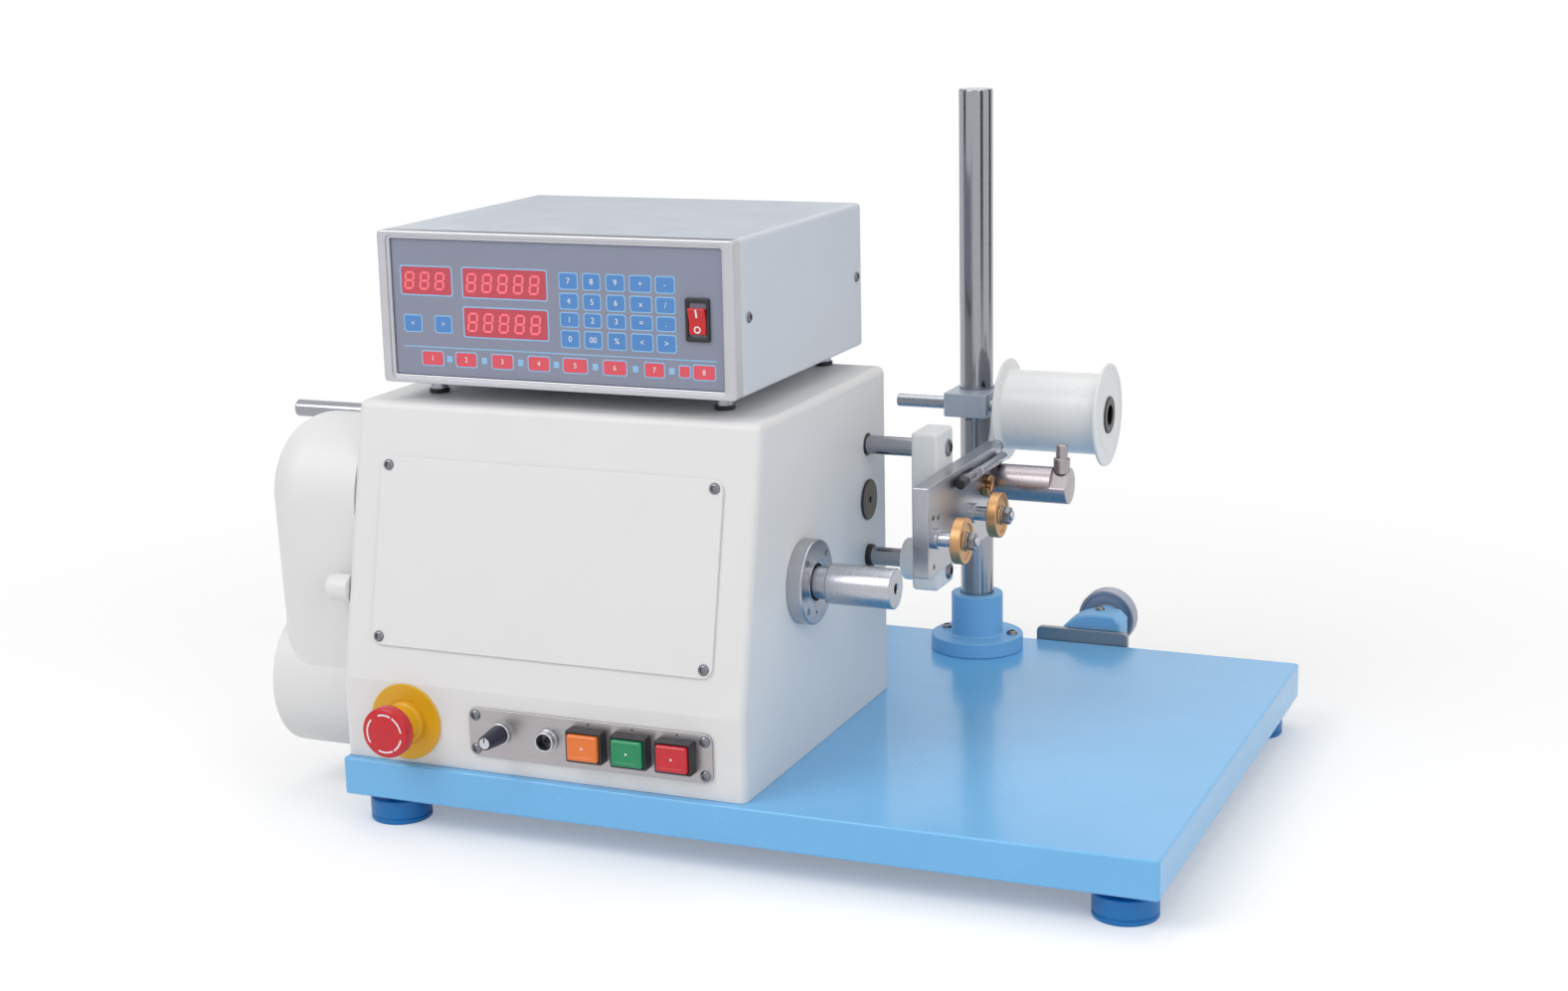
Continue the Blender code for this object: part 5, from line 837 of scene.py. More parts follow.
keyFigures = ["7", "8", "9", "+", "-", "4", "5", "6", "x", "/", "1", "2", "3", "=", ".", "0", "00", "%",
              "<", ">"]
words = [(text, (l + r) / 2, (b + t) / 2, 6.2) for text, (l, r, b, t) in zip(keyFigures, blueKeys)]
words += [(text, (l + r) / 2, (b + t) / 2, 5.6) for text, (l, r, b, t) in zip("<>", blueKeys[20:])]
words += [(text, (l + r) / 2, (b + t) / 2, 5.6) for text, (l, r, b, t) in zip("12345678", redKeys)]
figures("keyFigures", words, panelFace + 0.30, "frame", "markWhite")
print("control panel made")


# Power switch

power = dict(x=288, z=347.2, proud=2.0, seat=61.2, tilt=8)
outer = anticlockwise(rectangle(power["x"] - 9.7, power["x"] + 9.7, power["z"] - 16.15,
                                power["z"] + 16.15, 1.6))
inner = anticlockwise(rectangle(power["x"] - 7.3, power["x"] + 7.3, power["z"] - 12.6,
                                power["z"] + 12.6, 0.9))
front = -power["seat"] + power["proud"]
openFrame("powerBezel", [
    (outer, 0, front - 2.0), (outer, 0, front - 0.9), (outer, 0.1, front - 0.45), (outer, 0.45,
                                                                                   front - 0.1),
    (outer, 0.9, front), (outer, 1.1, front), (inner, -0.5, front), (inner, -0.3, front - 0.05),
    (inner, 0, front - 0.4), (inner, 0, front - 0.7), (inner, 0, front - 12)], "blackPlastic", "-y",
    nodes="power_switch_bezel")
slab("powerWellFloor", rectangle(power["x"] - 7.6, power["x"] + 7.6, power["z"] - 12.9,
                                 power["z"] + 12.9, 1.0),
     front - 12.4, front - 11.4, "-y", "blackPlastic", edges=(0.1, 0.1))
tilt = radians(power["tilt"])
lean = np.array([[cos(tilt), -sin(tilt)], [sin(tilt), cos(tilt)]])
pivot = np.array([65.2, power["z"]])
sideView = [(-7.6, 11, 1.4), (-6, 0, 9), (-7.6, -11, 1.4), (5, -5.5, 1), (5, 5.5, 1)]
turnedSide = [tuple(lean @ np.array(p[:2]) + pivot) + (p[2],) for p in sideView]
slab("rockerCap", rounded(turnedSide, 6, loop=True), power["x"] - 6.9, power["x"] + 6.9, "x",
     "rockerRed",
     "power_rocker", "power_rocker", edges=(0.8, 0.8))
for name, share, shapes in (
        ("rockerOne", 0.55, [rectangle(-0.7, 0.7, -3.2, 3.2, 0.3, 2)]),
        ("rockerRound", -0.55, None)):
    spot = lean @ np.array([-6.0 - 1.6 * abs(share), 11 * share]) + pivot
    way = lean @ np.array([-1.6 * np.sign(share), 11.0])
    up = np.array([0, *way]) / np.linalg.norm(way)
    markWay = (axisX, up, np.cross(axisX, up))
    start = (power["x"], spot[0], spot[1])
    if shapes:
        slabs(name, shapes, -0.2, 0.12, markWay, "markWhite", "power_rocker", edges=(0.02, 0.04),
              start=start)
    else:
        outerRing, innerRing = circle(0, 0, 2.7, 40), circle(0, 0, 1.7, 40)
        flat = np.stack([outerRing, outerRing, innerRing, innerRing])
        grid = stood(flat, [-0.2, 0.12, 0.12, -0.2], markWay, start)
        piece(name, skinned(name, [grid], loop=True), "markWhite", "power_rocker")
print("power switch made")


# Spindle

spindle = dict(y=124.2, z=139.6, cap=32.8, capLeft=340.3, capRight=352.2, bore=14.5, neck=12.5,
               nose=15.6,
               noseLeft=363.5, noseRight=415.6, hole=3.8, holeDepth=28)
spindleLine = (0, spindle["y"], spindle["z"])
turned("spindleCap", [(28, 300), (28, 340.3), (spindle["cap"], spindle["capLeft"], 0.4),
                      (spindle["cap"], spindle["capRight"], 1.2), (18.6, spindle["capRight"], 0.2),
                      (18.2, spindle["capRight"] - 0.5, 0.2), (16.2, spindle["capRight"] - 0.5, 0.2),
                      (15.8, spindle["capRight"], 0.2), (spindle["bore"], spindle["capRight"], 0.5),
                      (spindle["bore"], 300)], spindleLine, "x", "groundSteel", nodes="spindle_housing",
       loop=True, sides=120)
turned("spindleSeal", [(13.0, 346), (spindle["bore"] + 0.1, 346), (spindle["bore"] + 0.1, 351.4, 0.3),
                       (13.0, 351.0, 0.3)],
       spindleLine, "x", "darkMarksAndHoleShade", loop=True, sides=96)
seats = [(spindle["capRight"] - 0.9, spindle["y"] + 26.2 * cos(a), spindle["z"] + 26.2 * sin(a))
         for a in (np.arange(4) + 0.5) * pi / 2]
screws("spindleCapScrews", seats, "x", 3.3, 1.7)
# A thin dark disc on the cap face stands for a small hole; its dark is painted shade, not a cut
turned("spindleCapHoleShadeDisc", [(0, 0), (1.3, 0), (1.3, 0.06), (0, 0.06)],
       (spindle["capRight"], spindle["y"] - 2.7, spindle["z"] - 22.9), "x", "darkMarksAndHoleShade", sides=24)
turned("spindleShaft", [(0, 82), (spindle["neck"], 82), (spindle["neck"], 363.2, 0.4), (9, 363.2, 0.2),
                        (9, 384.7), (0, 384.7)], spindleLine, "x", "groundSteel", "spindle",
                        "spindle_shaft", sides=96)
turned("spindleNose", [(9.3, spindle["noseLeft"]), (spindle["nose"], spindle["noseLeft"], 1.0),
                       (spindle["nose"], spindle["noseRight"], 1.0), (spindle["hole"] + 0.7,
                                                                      spindle["noseRight"], 0.15),
                       (spindle["hole"], spindle["noseRight"] - 0.7, 0.15),
                       (spindle["hole"], spindle["noseRight"] - spindle["holeDepth"]),
                       (0, spindle["noseRight"] - spindle["holeDepth"] - 1.6), (0, 385.0),
                       (9.3, 385.0)],
       spindleLine, "x", "groundSteel", "spindle", "spindle_nose", sides=120)


def setScrew(name, x, turn, radius, body):
    # A short hexagon-socket plug that looks out of the nose along its own spoke
    out = np.array([0, cos(turn), sin(turn)])
    way = (axisX, np.cross(out, axisX), out)
    start = np.array([x, spindle["y"], spindle["z"]]) + out * (spindle["nose"] - 0.55)
    rings, marks = buttonScrewRings(start, way, radius, 0.5, 0.5, sink=1.5)
    piece(name, skinned(name, [rings], marks=[marks]), "bushDark", body)


setScrew("noseScrewLeft", 374.6, radians(222), 2.6, "spindle")
setScrew("noseScrewRight", 403.7, radians(222), 2.6, "spindle")
print("spindle made")


# Belt guard


def beltLine(low, lowRadius, high, highRadius, steps=40):
    # Two arcs joined by the straight lines that touch both circles
    span = hypot(high[0] - low[0], high[1] - low[1])
    slant = asin((highRadius - lowRadius) / span)
    upper = np.linspace(-slant, pi + slant, steps)
    lower = np.linspace(pi + slant, 2 * pi - slant, steps)
    return np.vstack([
        np.stack([high[0] + highRadius * np.cos(upper), high[1] + highRadius * np.sin(upper)], -1),
        np.stack([low[0] + lowRadius * np.cos(lower), low[1] + lowRadius * np.sin(lower)], -1)])


guard = dict(y=99, top=191.5, low=35.3, topRadius=61.3, lowRadius=53.5, drum=58.8, width=90, edge=35)
line = anticlockwise(beltLine((guard["y"], guard["low"]), guard["lowRadius"], (guard["y"],
                                                                               guard["top"]),
                              guard["topRadius"]))
rows = rounded([(2.5, -0.3), (0, -0.3, 0.6), (0, -guard["width"], guard["edge"]),
                (36.5, -guard["width"])], 14)
guardRings = stood(np.stack([drawnIn(line, inset) for inset in rows[:, 0]]), rows[:, 1], "x")
piece("guardBody", skinned("guardBody", [guardRings]), "housingPaint", nodes="belt_guard")
turned("guardDrum", [(0, 0.3), (guard["drum"], 0.3, 0.5), (guard["drum"], guard["width"], 2.2),
                     (0, guard["width"])], (0, guard["y"], guard["low"]), "-x", "housingPaint",
                     sides=120, steps=6)
turned("guardLug", [(0, 0.3), (10.8, 0.3, 0.4), (10.3, 20, 2.2), (0, 20)], (0, 29, 129.0), "-x",
       "housingPaint", sides=64)
slab("guardLugWeb", rectangle(29, 47, 126, 132, 1.0), -10, -0.3, "x", "housingPaint", edges=(0.8, 0.3))
screws("guardLugScrew", [(-20, 29, 129.0)], "-x", 4.3, 2.4, "bushDark")
print("belt guard made")


# Traverse rods, bushes and screw cap

rods = dict(y=266, radius=7.5, upper=217.1, lower=125.0, left=-200.4, lowerLeft=88.0, right=400.2)
for name, left, z, node in (("upperRod", rods["left"], rods["upper"], "upper_rod"),
                            ("lowerRod", rods["lowerLeft"], rods["lower"], "lower_rod")):
    turned(name + "Bar", [(0, left), (rods["radius"], left, 1.0), (rods["radius"], rods["right"], 1.0),
                          (0, rods["right"])], (0, rods["y"], z), "x", "polishedSteel", "traverse",
                          node)
for name, x, way, z, proud, node in (
        ("upperBush", 340, "-x", rods["upper"], 0.8, "upper_rod_bush"),
        ("lowerBush", 340, "-x", rods["lower"], 4.0, "lower_rod_bush")):
    turned(name + "Sleeve", [(7.8, -proud), (9.3, -proud, 0.5), (9.3, 4.3, 0.1), (14, 4.3, 0.3),
                             (14, 7.8, 0.3),
                             (9.3, 7.8, 0.1), (9.3, 24, 0.4), (7.8, 24, 0.3)], (x, rods["y"], z), way,
           "bushDark", nodes=node, loop=True)
turned("leftBushCollar", [(7.8, -0.8), (9.3, -0.8, 0.4), (9.3, 24), (7.8, 24)], (0, rods["y"],
                                                                                 rods["upper"]),
       "x", "bushDark", loop=True)
turned("leadscrewCover", [(0, 324.5), (13.7, 324.5), (13.7, 340.3, 0.1), (16.5, 340.3, 0.2),
                          (16.5, 341.9, 0.6),
                          (2.5, 341.9, 0.3), (2.5, 340.9, 0.2), (0, 340.9)], (0, rods["y"], 171.6), "x",
       "bushDark", nodes="leadscrew_cap")
print("rods made")


# Wire guide head

block = dict(left=384, right=406.2, front=246, rear=286, low=104.5, high=233.1, edge=3.0)
slab("guideBlockBody", rectangle(block["front"], block["rear"], block["low"], block["high"], 3.4),
     block["left"],
     block["right"], "x", "whiteNylon", "traverse", "guide_block", edges=(block["edge"], block["edge"]),
     steps=5)
turned("guideBlockBoss", [(8.0, 372.2), (17, 372.2, 2.2), (17, 388), (8.0, 388)], (0, rods["y"],
                                                                                   rods["lower"]),
       "x", "whiteNylon", "traverse", loop=True)
screws("guideBlockScrews", [(block["right"], 273, 217.1), (block["right"], 273, 116.0)], "x", 7.4, 3.0,
       body="traverse")
plate = dict(left=406.5, right=419.5, front=187, rear=371, low=131, high=203)
slab("guidePlateBar", rectangle(plate["front"], plate["rear"], plate["low"], plate["high"], 1.2),
     plate["left"],
     plate["right"], "x", "plateSteel", "traverse", "guide_plate", edges=(0.5, 0.5))
turned("guidePlateCap", [(0, -0.3), (5.5, -0.3), (5.5, 2.4, 0.1), (6.5, 2.4, 0.3), (6.5, 8, 1.0),
                         (0, 8)],
       (413, plate["rear"], 196.5), "y", "groundSteel", "traverse")
for name, y, z, radius in (("plateScrewFront", 209.7, 175.4, 2.4), ("plateScrewHigh", 197.8, 177.7,
                                                                    2.4),
                           ("plateScrewRear", 363.6, 190.7, 2.2)):
    screws(name, [(plate["right"] - 0.1, y, z)], "x", radius, 1.0, body="traverse")
turned("plateHoleRim", [(1.9, -0.1), (2.7, -0.1), (2.7, 0.08, 0.05), (1.9, 0.02)], (plate["right"],
                                                                                    199.6, 137.9),
       "x", "groundSteel", "traverse", sides=32, loop=True)
# A thin dark disc inside the rim stands for the hole; its dark is painted shade, not a cut
turned("plateHoleShadeDisc", [(0, -0.1), (2.1, -0.1), (2.1, 0.03), (0, 0.03)], (plate["right"], 199.6, 137.9),
       "x",
       "darkMarksAndHoleShade", "traverse", sides=32)

roller = dict(z=160.3, left=437.2, right=445.7, radius=18.3)
for name, y, node in (("frontRoller", 201.4, "front_roller"), ("rearRoller", 291.3, "rear_roller")):
    centre = (0, y, roller["z"])
    turned(name + "Wheel", [(4.5, roller["left"]), (roller["radius"], roller["left"], 0.8),
                            (roller["radius"], roller["right"], 0.8), (14, roller["right"], 0.3),
                            (13.4, roller["right"] - 1.0, 0.3), (8.1, roller["right"] - 1.0, 0.3),
                            (7.5, roller["right"], 0.3), (4.5, roller["right"], 0.2)], centre, "x",
           "rollerBrass", node, node, loop=True, sides=96)
    turned(name + "Stud", [(0, 418), (8, 418), (8, 423.5, 0.5), (5.8, 423.5, 0.2), (5.8, 436.9, 0.3),
                           (4.2, 436.9, 0.1), (4.2, 446.0, 0.1), (7.5, 446.0, 0.2), (7.5, 447.4, 0.3),
                           (3.6, 447.4, 0.1),
                           (3.6, 454.9, 0.6), (0, 454.9)], centre, "x", "groundSteel", "traverse")
    rings, marks = nutRings((447.35, y, roller["z"]), "x", 6.3, 5.5)
    piece(name + "Nut", skinned(name + "Nut", [rings], marks=[marks], sharp=25), "screwSteel",
          "traverse")

eye = dict(y=325, z=176, radius=9, bore=4.2, left=419.8, right=425.3)
closedLine = rounded([(eye["bore"], eye["left"], 0.6), (eye["radius"], eye["left"], 0.3),
                      (eye["radius"], eye["right"], 1.0), (eye["bore"], eye["right"], 1.4)], 4,
                      loop=True)
notchTurn = np.linspace(radians(161 + 23), radians(161 - 23 + 360), 90)
spokes = np.cos(notchTurn)[:, None] * axisY + np.sin(notchTurn)[:, None] * axisZ
eyeRings = (np.array([0, eye["y"], eye["z"]]) + spokes[:, None] * closedLine[None, :, :1]
            + closedLine[None, :, 1:] * axisX)
eyeMarks = np.stack(np.broadcast_arrays(np.cos(notchTurn)[:, None], np.sin(notchTurn)[:, None],
                                        closedLine[:, 0][None]), -1)
piece("wireEyeRing", skinned("wireEyeRing", [eyeRings], marks=[eyeMarks]), "rollerBrass", "traverse",
      "wire_eye")

lever = dict(x=423.8, z=193, rod=4.0, rear=362)
turned("leverRod", [(0, 298.5), (lever["rod"], 298.5, 0.8), (lever["rod"], lever["rear"], 0.8),
                    (0, lever["rear"])],
       (lever["x"], 0, lever["z"]), "y", "groundSteel", "traverse", "wire_lever")
outer = anticlockwise(rectangle(260, 303, lever["z"] - 4.25, lever["z"] + 4.25, 1.5))
slot = anticlockwise(rectangle(273, 289, lever["z"] - 1.5, lever["z"] + 1.5, 1.45))
right = lever["x"] + 1.5
left = lever["x"] - 1.5
openFrame("leverBlade", [(outer, 0.3, left), (outer, 0, left + 0.3), (outer, 0, right - 0.4),
                         (outer, 0.1, right - 0.1),
                         (outer, 0.4, right), (outer, 0.6, right), (slot, -0.3, right),
                         (slot, 0, right - 0.3),
                         (slot, 0, left + 0.3), (slot, -0.3, left)], "groundSteel", "x", "traverse")
turned("leverTip", [(0, 250), (4.3, 250, 1.2), (4.3, 264, 0.6), (0, 264)], (lever["x"], 0, lever["z"]),
       "y",
       "blackPlastic", "traverse")

bar = dict(y=356, z=172.7, radius=15, left=419.8, right=483.1, flat=14, share=0.72)
line = rounded([(0, bar["left"]), (bar["radius"], bar["left"], 0.3), (bar["radius"],
                                                                      bar["right"] - bar["flat"] - 0.01),
                (bar["radius"], bar["right"] - bar["flat"]), (bar["radius"], bar["right"], 0.9),
                (0, bar["right"])], 5)
turn = np.linspace(0, 2 * pi, 144, endpoint=False)
limit = np.where(np.cos(turn - radians(135)) > 0.05,
                 bar["radius"] * bar["share"] / np.maximum(np.cos(turn - radians(135)), 0.05), 99)
near = line[:, 1] > bar["right"] - bar["flat"] - 0.005
radius = np.where(near[:, None], np.minimum(line[:, :1], limit), line[:, :1])
spokes = np.cos(turn)[:, None] * axisY + np.sin(turn)[:, None] * axisZ
barRings = np.array([0, bar["y"],
                     bar["z"]]) + radius[..., None] * spokes + line[:, 1][:, None, None] * axisX
barMarks = np.stack(np.broadcast_arrays(np.cos(turn), np.sin(turn), line[:, 1:]), -1)
piece("guideBarBody", skinned("guideBarBody", [barRings], marks=[barMarks], sharp=30), "darkBar",
      "traverse",
      "guide_bar")
turned("guidePinTurned", [(0, -4), (6.8, -4), (6.8, 8, 0.6), (4.9, 8, 0.4), (4.9, 19.8, 0.9),
                          (0, 19.8)],
       (475.9, bar["y"], bar["z"] + bar["radius"]), "z", "darkBar", "traverse")
print("wire guide head made")


# Post, clamp and spool

post = dict(x=373.1, y=446, radius=14.3, high=489)
turned("postBar", [(0, 0.3), (post["radius"], 0.3), (post["radius"], post["high"], 1.3),
                   (0, post["high"])],
       (post["x"], post["y"], 0), "z", "polishedSteel", nodes="post", sides=120)
turned("postFlangeCasting", [(14.6, 0.3), (40.3, 0.3, 0.4), (40.3, 13.3, 1.2), (22.6, 13.3, 1.6),
                             (22.6, 50.4, 1.5),
                             (14.6, 50.4, 0.5)], (post["x"], post["y"], 0), "z", "castBlue",
                             nodes="post_flange",
       loop=True, sides=120)
bolts = [(post["x"] + 31 * cos(radians(a)), post["y"] + 31 * sin(radians(a)),
          13.3) for a in (8, 90, 168)]
screws("postFlangeBolts", bolts, "z", 5.0, 3.4)

clamp = dict(left=354, right=393, front=411.5, rear=466, low=212.9, high=233.3)
around = circle(0, 0, 14.6, 96)
turn = np.linspace(0, 2 * pi, 96, endpoint=False)
reachX = np.where(np.cos(turn) > 0, clamp["right"] - post["x"], post["x"] - clamp["left"])
reachY = np.where(np.sin(turn) > 0, clamp["rear"] - post["y"], post["y"] - clamp["front"])
squareReach = ((np.abs(np.cos(turn)) / reachX) ** 24 + (np.abs(np.sin(turn)) / reachY) ** 24) ** (-1 / 24)
outerClamp = np.stack([post["x"] + squareReach * np.cos(turn), post["y"] + squareReach * np.sin(turn)],
                      -1)
innerClamp = around + np.array([post["x"], post["y"]])
low, high = clamp["low"], clamp["high"]
openFrame("clampBody", [(outerClamp, 1.0, low), (outerClamp, 0.3, low + 0.3), (outerClamp, 0,
                                                                               low + 1.0),
                        (outerClamp, 0, low + 1.3), (outerClamp, 0, high - 1.3), (outerClamp, 0,
                                                                                  high - 1.0),
                        (outerClamp, 0.3, high - 0.3), (outerClamp, 1.0, high), (outerClamp, 1.3, high),
                        (innerClamp, -0.5, high), (innerClamp, 0, high - 0.5), (innerClamp, 0,
                                                                                low + 0.5),
                        (innerClamp, -0.5, low)], "clampPaint", "z", "clamp", "clamp_block")
turned("clampPostScrew", [(0, -1), (3.5, -1), (3.5, 4, 0.6), (1.9, 4, 0.1), (1.7, 2, 0.1), (0, 2)],
       (post["x"], clamp["rear"], 223.1), "y", "screwSteel", "clamp")
turned("clampRodScrew", [(0, -1), (3.5, -1), (3.5, 4, 0.6), (1.9, 4, 0.1), (1.7, 2, 0.1), (0, 2)],
       (post["x"], 423, clamp["low"]), "-z", "screwSteel", "clamp")

spool = dict(y=423, rodZ=223.1, z=220.4, left=407.6, right=497, radius=43.4, rim=2.2, root=4.5,
             barrel=34)
turned("spoolRodBar", [(0, 309.6), (5.5, 309.6, 0.8), (5.5, 399, 0.2), (9.5, 399, 0.6), (9.5, 405, 0.6),
                       (5.5, 405, 0.2),
                       (5.5, 486, 0.8), (0, 486)], (0, spool["y"], spool["rodZ"]), "x", "groundSteel",
                       "spool_rod",
       "spool_rod", sides=96)
leftEnd, rightEnd = spool["left"], spool["right"]
turned("spoolBody", [(15.8, leftEnd), (38.5, leftEnd, 0.3), (39.2, leftEnd + 0.5, 0.3),
                     (spool["radius"], leftEnd, 0.9),
                     (spool["radius"], leftEnd + spool["rim"], 0.6), (spool["barrel"],
                                                                      leftEnd + spool["root"], 1.2),
                     (spool["barrel"], rightEnd - spool["root"], 1.2), (spool["radius"],
                                                                        rightEnd - spool["rim"], 0.6),
                     (spool["radius"], rightEnd, 0.9), (39.2, rightEnd, 0.3), (38.6, rightEnd - 0.6,
                                                                               0.3), (30, rightEnd - 0.6, 0.3),
                     (29.4, rightEnd, 0.3), (15.8, rightEnd), (15.8, rightEnd - 12),
                     (29, rightEnd - 12), (29, leftEnd + 12), (15.8, leftEnd + 12)],
       (0, spool["y"], spool["z"]), "x", "spoolPlastic", "spool", "spool", loop=True, sides=144)
turned("spoolHubSleeve", [(8.5, leftEnd - 1.2, 0.3), (15.5, leftEnd - 1.2, 0.5), (15.5, rightEnd + 1.2,
                                                                                  0.5), (8.5, rightEnd + 1.2, 0.6)],
       (0, spool["y"], spool["z"]), "x", "bushDark", "spool", "spool_bush", loop=True, sides=96)
print("post and spool made")


# Rear bracket, arm and wheel

slab("rearBracketPlate", rounded([(498.5, 11.5, 4.5), (415.5, 11.5, 4.5), (415.5, -28.5, 1.2),
                                  (498.5, -28.5, 1.2)],
                                 4, loop=True), -492.3, -486.3, "-y", "gearSteel", nodes="rear_bracket",
     edges=(0.6, 0.6))
screws("rearBracketScrews", [(x, 492.3, z) for x in (424, 430) for z in (-18, 2)], "y", 3.6, 2.2)
arm = dict(crown=38.0, right=490.1, low=-20, high=24.4, y=492.6, rear=520.6, edge=3.0, cut=6.5)
wheel = dict(x=466.6, z=10.4)
crownLow = arm["high"] - arm["crown"]
crownTurn = np.linspace(pi, pi / 2, 18)
curve = np.stack([wheel["x"] + arm["crown"] * np.cos(crownTurn),
                  crownLow + arm["crown"] * np.sin(crownTurn)], -1)
armOutline = np.vstack([curve, rounded([
    (wheel["x"], arm["high"]), (arm["right"] - arm["cut"], arm["high"], 2),
    (arm["right"], arm["high"] - arm["cut"], 2), (arm["right"], arm["low"], 3.4),
    (wheel["x"] - arm["crown"], arm["low"]), (wheel["x"] - arm["crown"], crownLow)], 4)[1:-1]])
slab("rearArmCasting", armOutline, -arm["rear"], -arm["y"], "-y", "castBlue", nodes="rear_arm",
     edges=(arm["edge"], arm["edge"]), steps=5)
turned("rearArmHub", [(0, 518), (13, 518), (13, 532.6, 1.2), (0, 532.6)], (wheel["x"], 0, wheel["z"]),
       "y", "castBlue")
turned("rearAxle", [(0, 530), (5, 530), (5, 548.2, 0.1), (8, 548.2, 0.2), (8, 551.2, 0.8), (0, 551.2)],
       (wheel["x"], 0, wheel["z"]), "y", "groundSteel")
screws("rearArmBolt", [(wheel["x"], 511.6, arm["high"])], "z", 4.5, 3.5)
turned("rearWheelTurned", [(5.3, 532.9), (12, 532.9, 0.5), (12, 535.9, 0.5), (22.5, 535.9, 0.8),
                           (22.5, 532.9, 0.5),
                           (25.8, 532.9, 1.5), (25.8, 539.4, 0.8), (24.6, 540.4, 0.8), (25.8, 541.4,
                                                                                        0.8),
                           (25.8, 547.9, 1.5), (20.5, 547.9, 0.5), (20.0, 546.9, 0.5), (12.5, 546.9,
                                                                                        0.5),
                           (12, 547.9, 0.4), (5.3, 547.9, 0.3)], (wheel["x"], 0, wheel["z"]), "y",
                           "wheelGrey", "rear_wheel",
       "rear_wheel", loop=True, sides=96)
print("rear wheel made")


# Inner drive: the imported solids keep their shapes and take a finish

innerLooks = {
    "front_bearing": "gearSteel", "rear_bearing": "gearSteel", "drive_plate": "gearSteel",
    "drive_motor": "motorBlack", "drive_belt": "beltRubber", "traverse_motor": "motorBlack",
    "spindle_gear": "gearSteel", "layshaft": "gearSteel", "layshaft_pulley": "gearSteel",
    "motor_pulley": "gearSteel", "leadscrew": "gearSteel", "traverse_nut": "rollerBrass"}
for node, look in innerLooks.items():
    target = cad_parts[node]
    if not target.data.materials:
        target.data.materials.append(looks[look])
    for place in target.material_slots:
        place.material = looks[look]
print("inner drive finished")


# Floor, light and camera


def whiteRays(tree):
    # One for rays from the camera, mirrors and clear pieces, nought for the light that bounces
    rays = tree.nodes.new("ShaderNodeLightPath")
    return sums(tree, "MAXIMUM", sums(tree, "MAXIMUM", rays.outputs["Is Camera Ray"],
                                      rays.outputs["Is Glossy Ray"]),
                                      rays.outputs["Is Transmission Ray"])


def stageLook(name, colour, lift, near, far):
    # The floor keeps its shadow near the machine, and by the far distance those rays see it as plain
    # white: share = (distance - near) / (far - near), held between 0 and 1
    material = bpy.data.materials.new(name)
    material.use_nodes = True
    tree = material.node_tree
    shader = tree.nodes["Principled BSDF"]
    shader.inputs["Base Color"].default_value = (*colour, 1)
    shader.inputs["Roughness"].default_value = 0.9
    shader.inputs["Specular IOR Level"].default_value = 0.1
    shader.inputs["Emission Color"].default_value = (1, 1, 1, 1)
    seen = whiteRays(tree)
    tree.links.new(sums(tree, "MULTIPLY", seen, lift), shader.inputs["Emission Strength"])
    place = tree.nodes.new("ShaderNodeTexCoord")
    distance = tree.nodes.new("ShaderNodeVectorMath")
    distance.operation = "LENGTH"
    tree.links.new(place.outputs["Object"], distance.inputs[0])
    share = tree.nodes.new("ShaderNodeMapRange")
    share.interpolation_type = "SMOOTHSTEP"
    share.inputs["From Min"].default_value = near
    share.inputs["From Max"].default_value = far
    tree.links.new(distance.outputs["Value"], share.inputs["Value"])
    white = tree.nodes.new("ShaderNodeEmission")
    mixed = tree.nodes.new("ShaderNodeMixShader")
    tree.links.new(sums(tree, "MULTIPLY", share.outputs["Result"], seen), mixed.inputs["Fac"])
    tree.links.new(shader.outputs["BSDF"], mixed.inputs[1])
    tree.links.new(white.outputs["Emission"], mixed.inputs[2])
    tree.links.new(mixed.outputs["Shader"], tree.nodes["Material Output"].inputs["Surface"])
    return material


floorMesh = bpy.data.meshes.new("floor")
floorMesh.from_pydata([(-9, -7, 0), (9, -7, 0), (9, 11, 0), (-9, 11, 0)], [], [(0, 1, 2, 3)])
floor = bpy.data.objects.new("floor", floorMesh)
bpy.context.scene.collection.objects.link(floor)
floorMesh.materials.append(stageLook("floorLook", (0.86, 0.86, 0.86), 0.25, 0.5, 1.2))

world = bpy.data.worlds.new("studio")
bpy.context.scene.world = world
world.use_nodes = True
tree = world.node_tree
background = tree.nodes["Background"]
background.inputs["Color"].default_value = (1, 1, 1, 1)
ambient = 0.42
tree.links.new(sums(tree, "MULTIPLY_ADD", whiteRays(tree), 1 - ambient, ambient),
               background.inputs["Strength"])

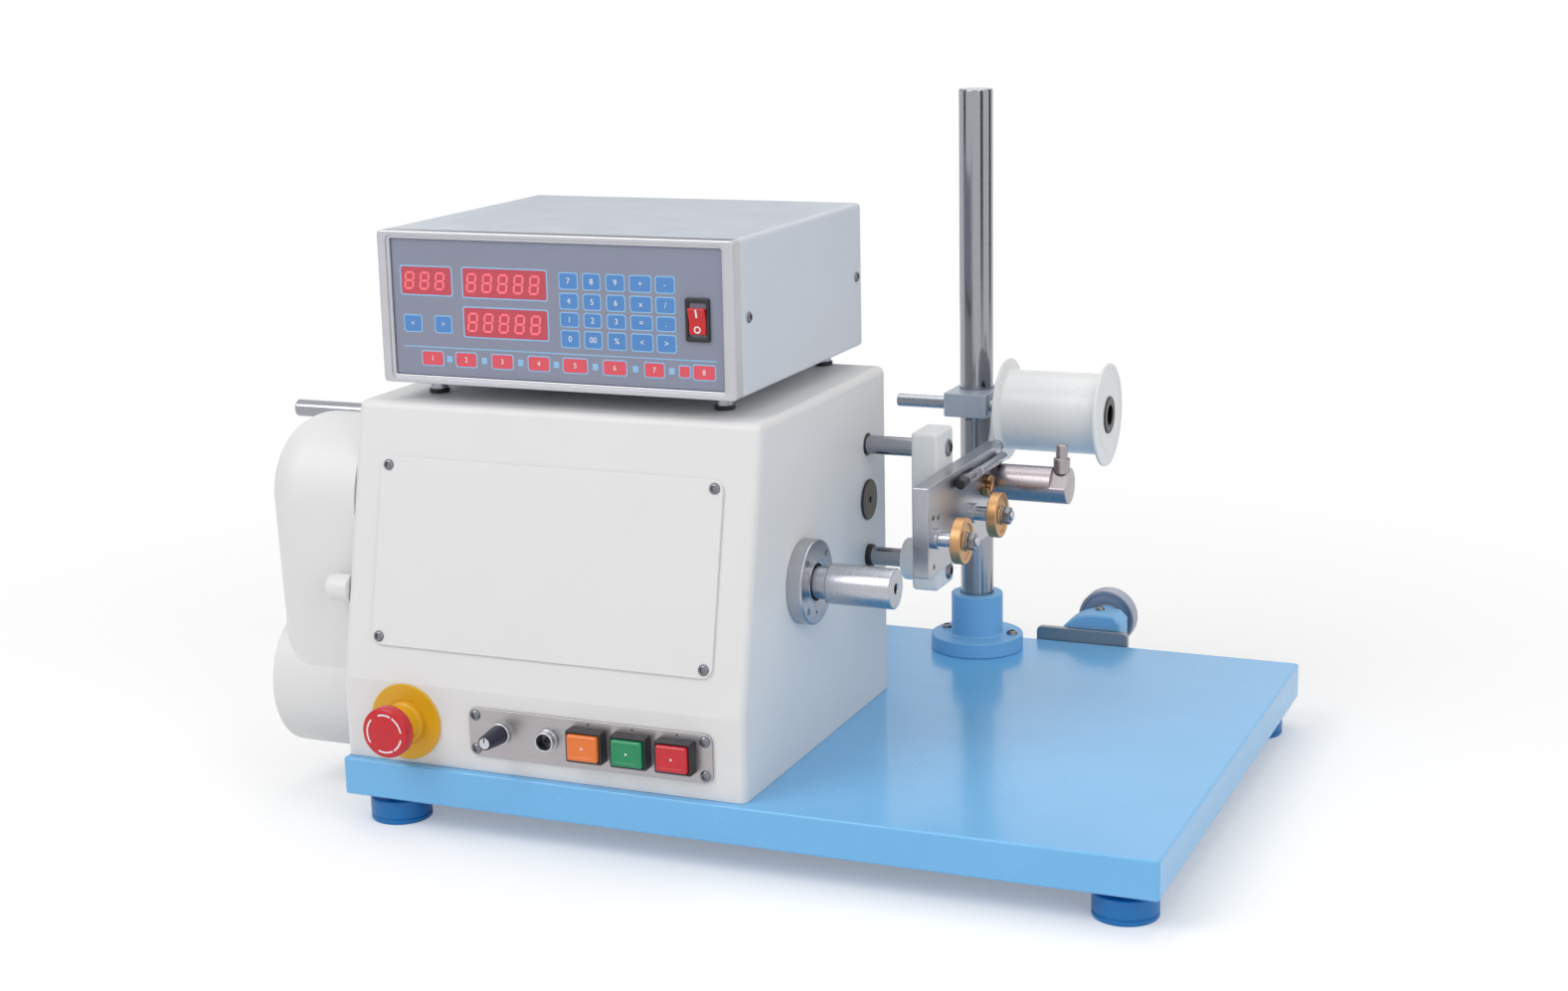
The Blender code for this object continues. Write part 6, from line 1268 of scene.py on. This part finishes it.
# Dark upright cards, out of the picture, give bright round metal its dark stripes
cardLook = bpy.data.materials.new("cardLook")
cardLook.use_nodes = True
cardLook.node_tree.nodes["Principled BSDF"].inputs["Base Color"].default_value = (0.04, 0.04, 0.045, 1)
card = dict(distance=2.4, halfWidth=0.42, high=2.4, turns=(-158, -28, 38, 118))
for index, degrees in enumerate(card["turns"]):
    out = np.array([cos(radians(degrees)), sin(radians(degrees)), 0])
    along = np.array([-out[1], out[0], 0]) * card["halfWidth"]
    middle = out * card["distance"]
    top = axisZ * card["high"]
    cardMesh = bpy.data.meshes.new(f"card{index + 1}")
    cardMesh.from_pydata([tuple(point) for point in (middle - along, middle + along,
                                                     middle + along + top,
                                                     middle - along + top)], [], [(0, 1, 2, 3)])
    cardMesh.materials.append(cardLook)
    standing = bpy.data.objects.new(f"card{index + 1}", cardMesh)
    bpy.context.scene.collection.objects.link(standing)
    standing.visible_camera = standing.visible_diffuse = standing.visible_shadow = False

lamps = {
    "key": dict(place=(-1.3, -1.9, 2.3), size=1.8, power=34),
    "fill": dict(place=(2.2, -1.4, 1.5), size=2.0, power=19),
    "top": dict(place=(0.2, 0.6, 2.6), size=2.2, power=16),
}
for name, values in lamps.items():
    light = bpy.data.lights.new(name, "AREA")
    light.shape = "SQUARE"
    light.size = values["size"]
    light.energy = values["power"]
    lamp = bpy.data.objects.new(name, light)
    bpy.context.scene.collection.objects.link(lamp)
    lamp.location = values["place"]
    aim = Vector((0.05, 0, 0.2)) - lamp.location
    lamp.rotation_euler = aim.to_track_quat("-Z", "Y").to_euler()

camera = bpy.data.objects.new("camera", bpy.data.cameras.new("camera"))
bpy.context.scene.collection.objects.link(camera)
shot = dict(lens=55.70, yaw=22.939, pitch=13.047, roll=-1.1972, place=(0.79814, -1.78424, 0.67428))
yaw, pitch, roll = radians(shot["yaw"]), radians(shot["pitch"]), radians(shot["roll"])
ahead = np.array([-sin(yaw) * cos(pitch), cos(yaw) * cos(pitch), -sin(pitch)])
right = np.array([cos(yaw), sin(yaw), 0])
up = np.cross(right, ahead)
rightRolled = cos(roll) * right + sin(roll) * up
upRolled = -sin(roll) * right + cos(roll) * up
turnMatrix = Matrix([list(row) for row in np.stack([rightRolled, upRolled, -ahead], 1)]).to_4x4()
camera.matrix_world = Matrix.Translation(shot["place"]) @ turnMatrix
camera.data.lens = shot["lens"]
camera.data.sensor_width = 36
camera.data.clip_start = 0.01
bpy.context.scene.camera = camera
bpy.context.scene.view_settings.view_transform = "Standard"
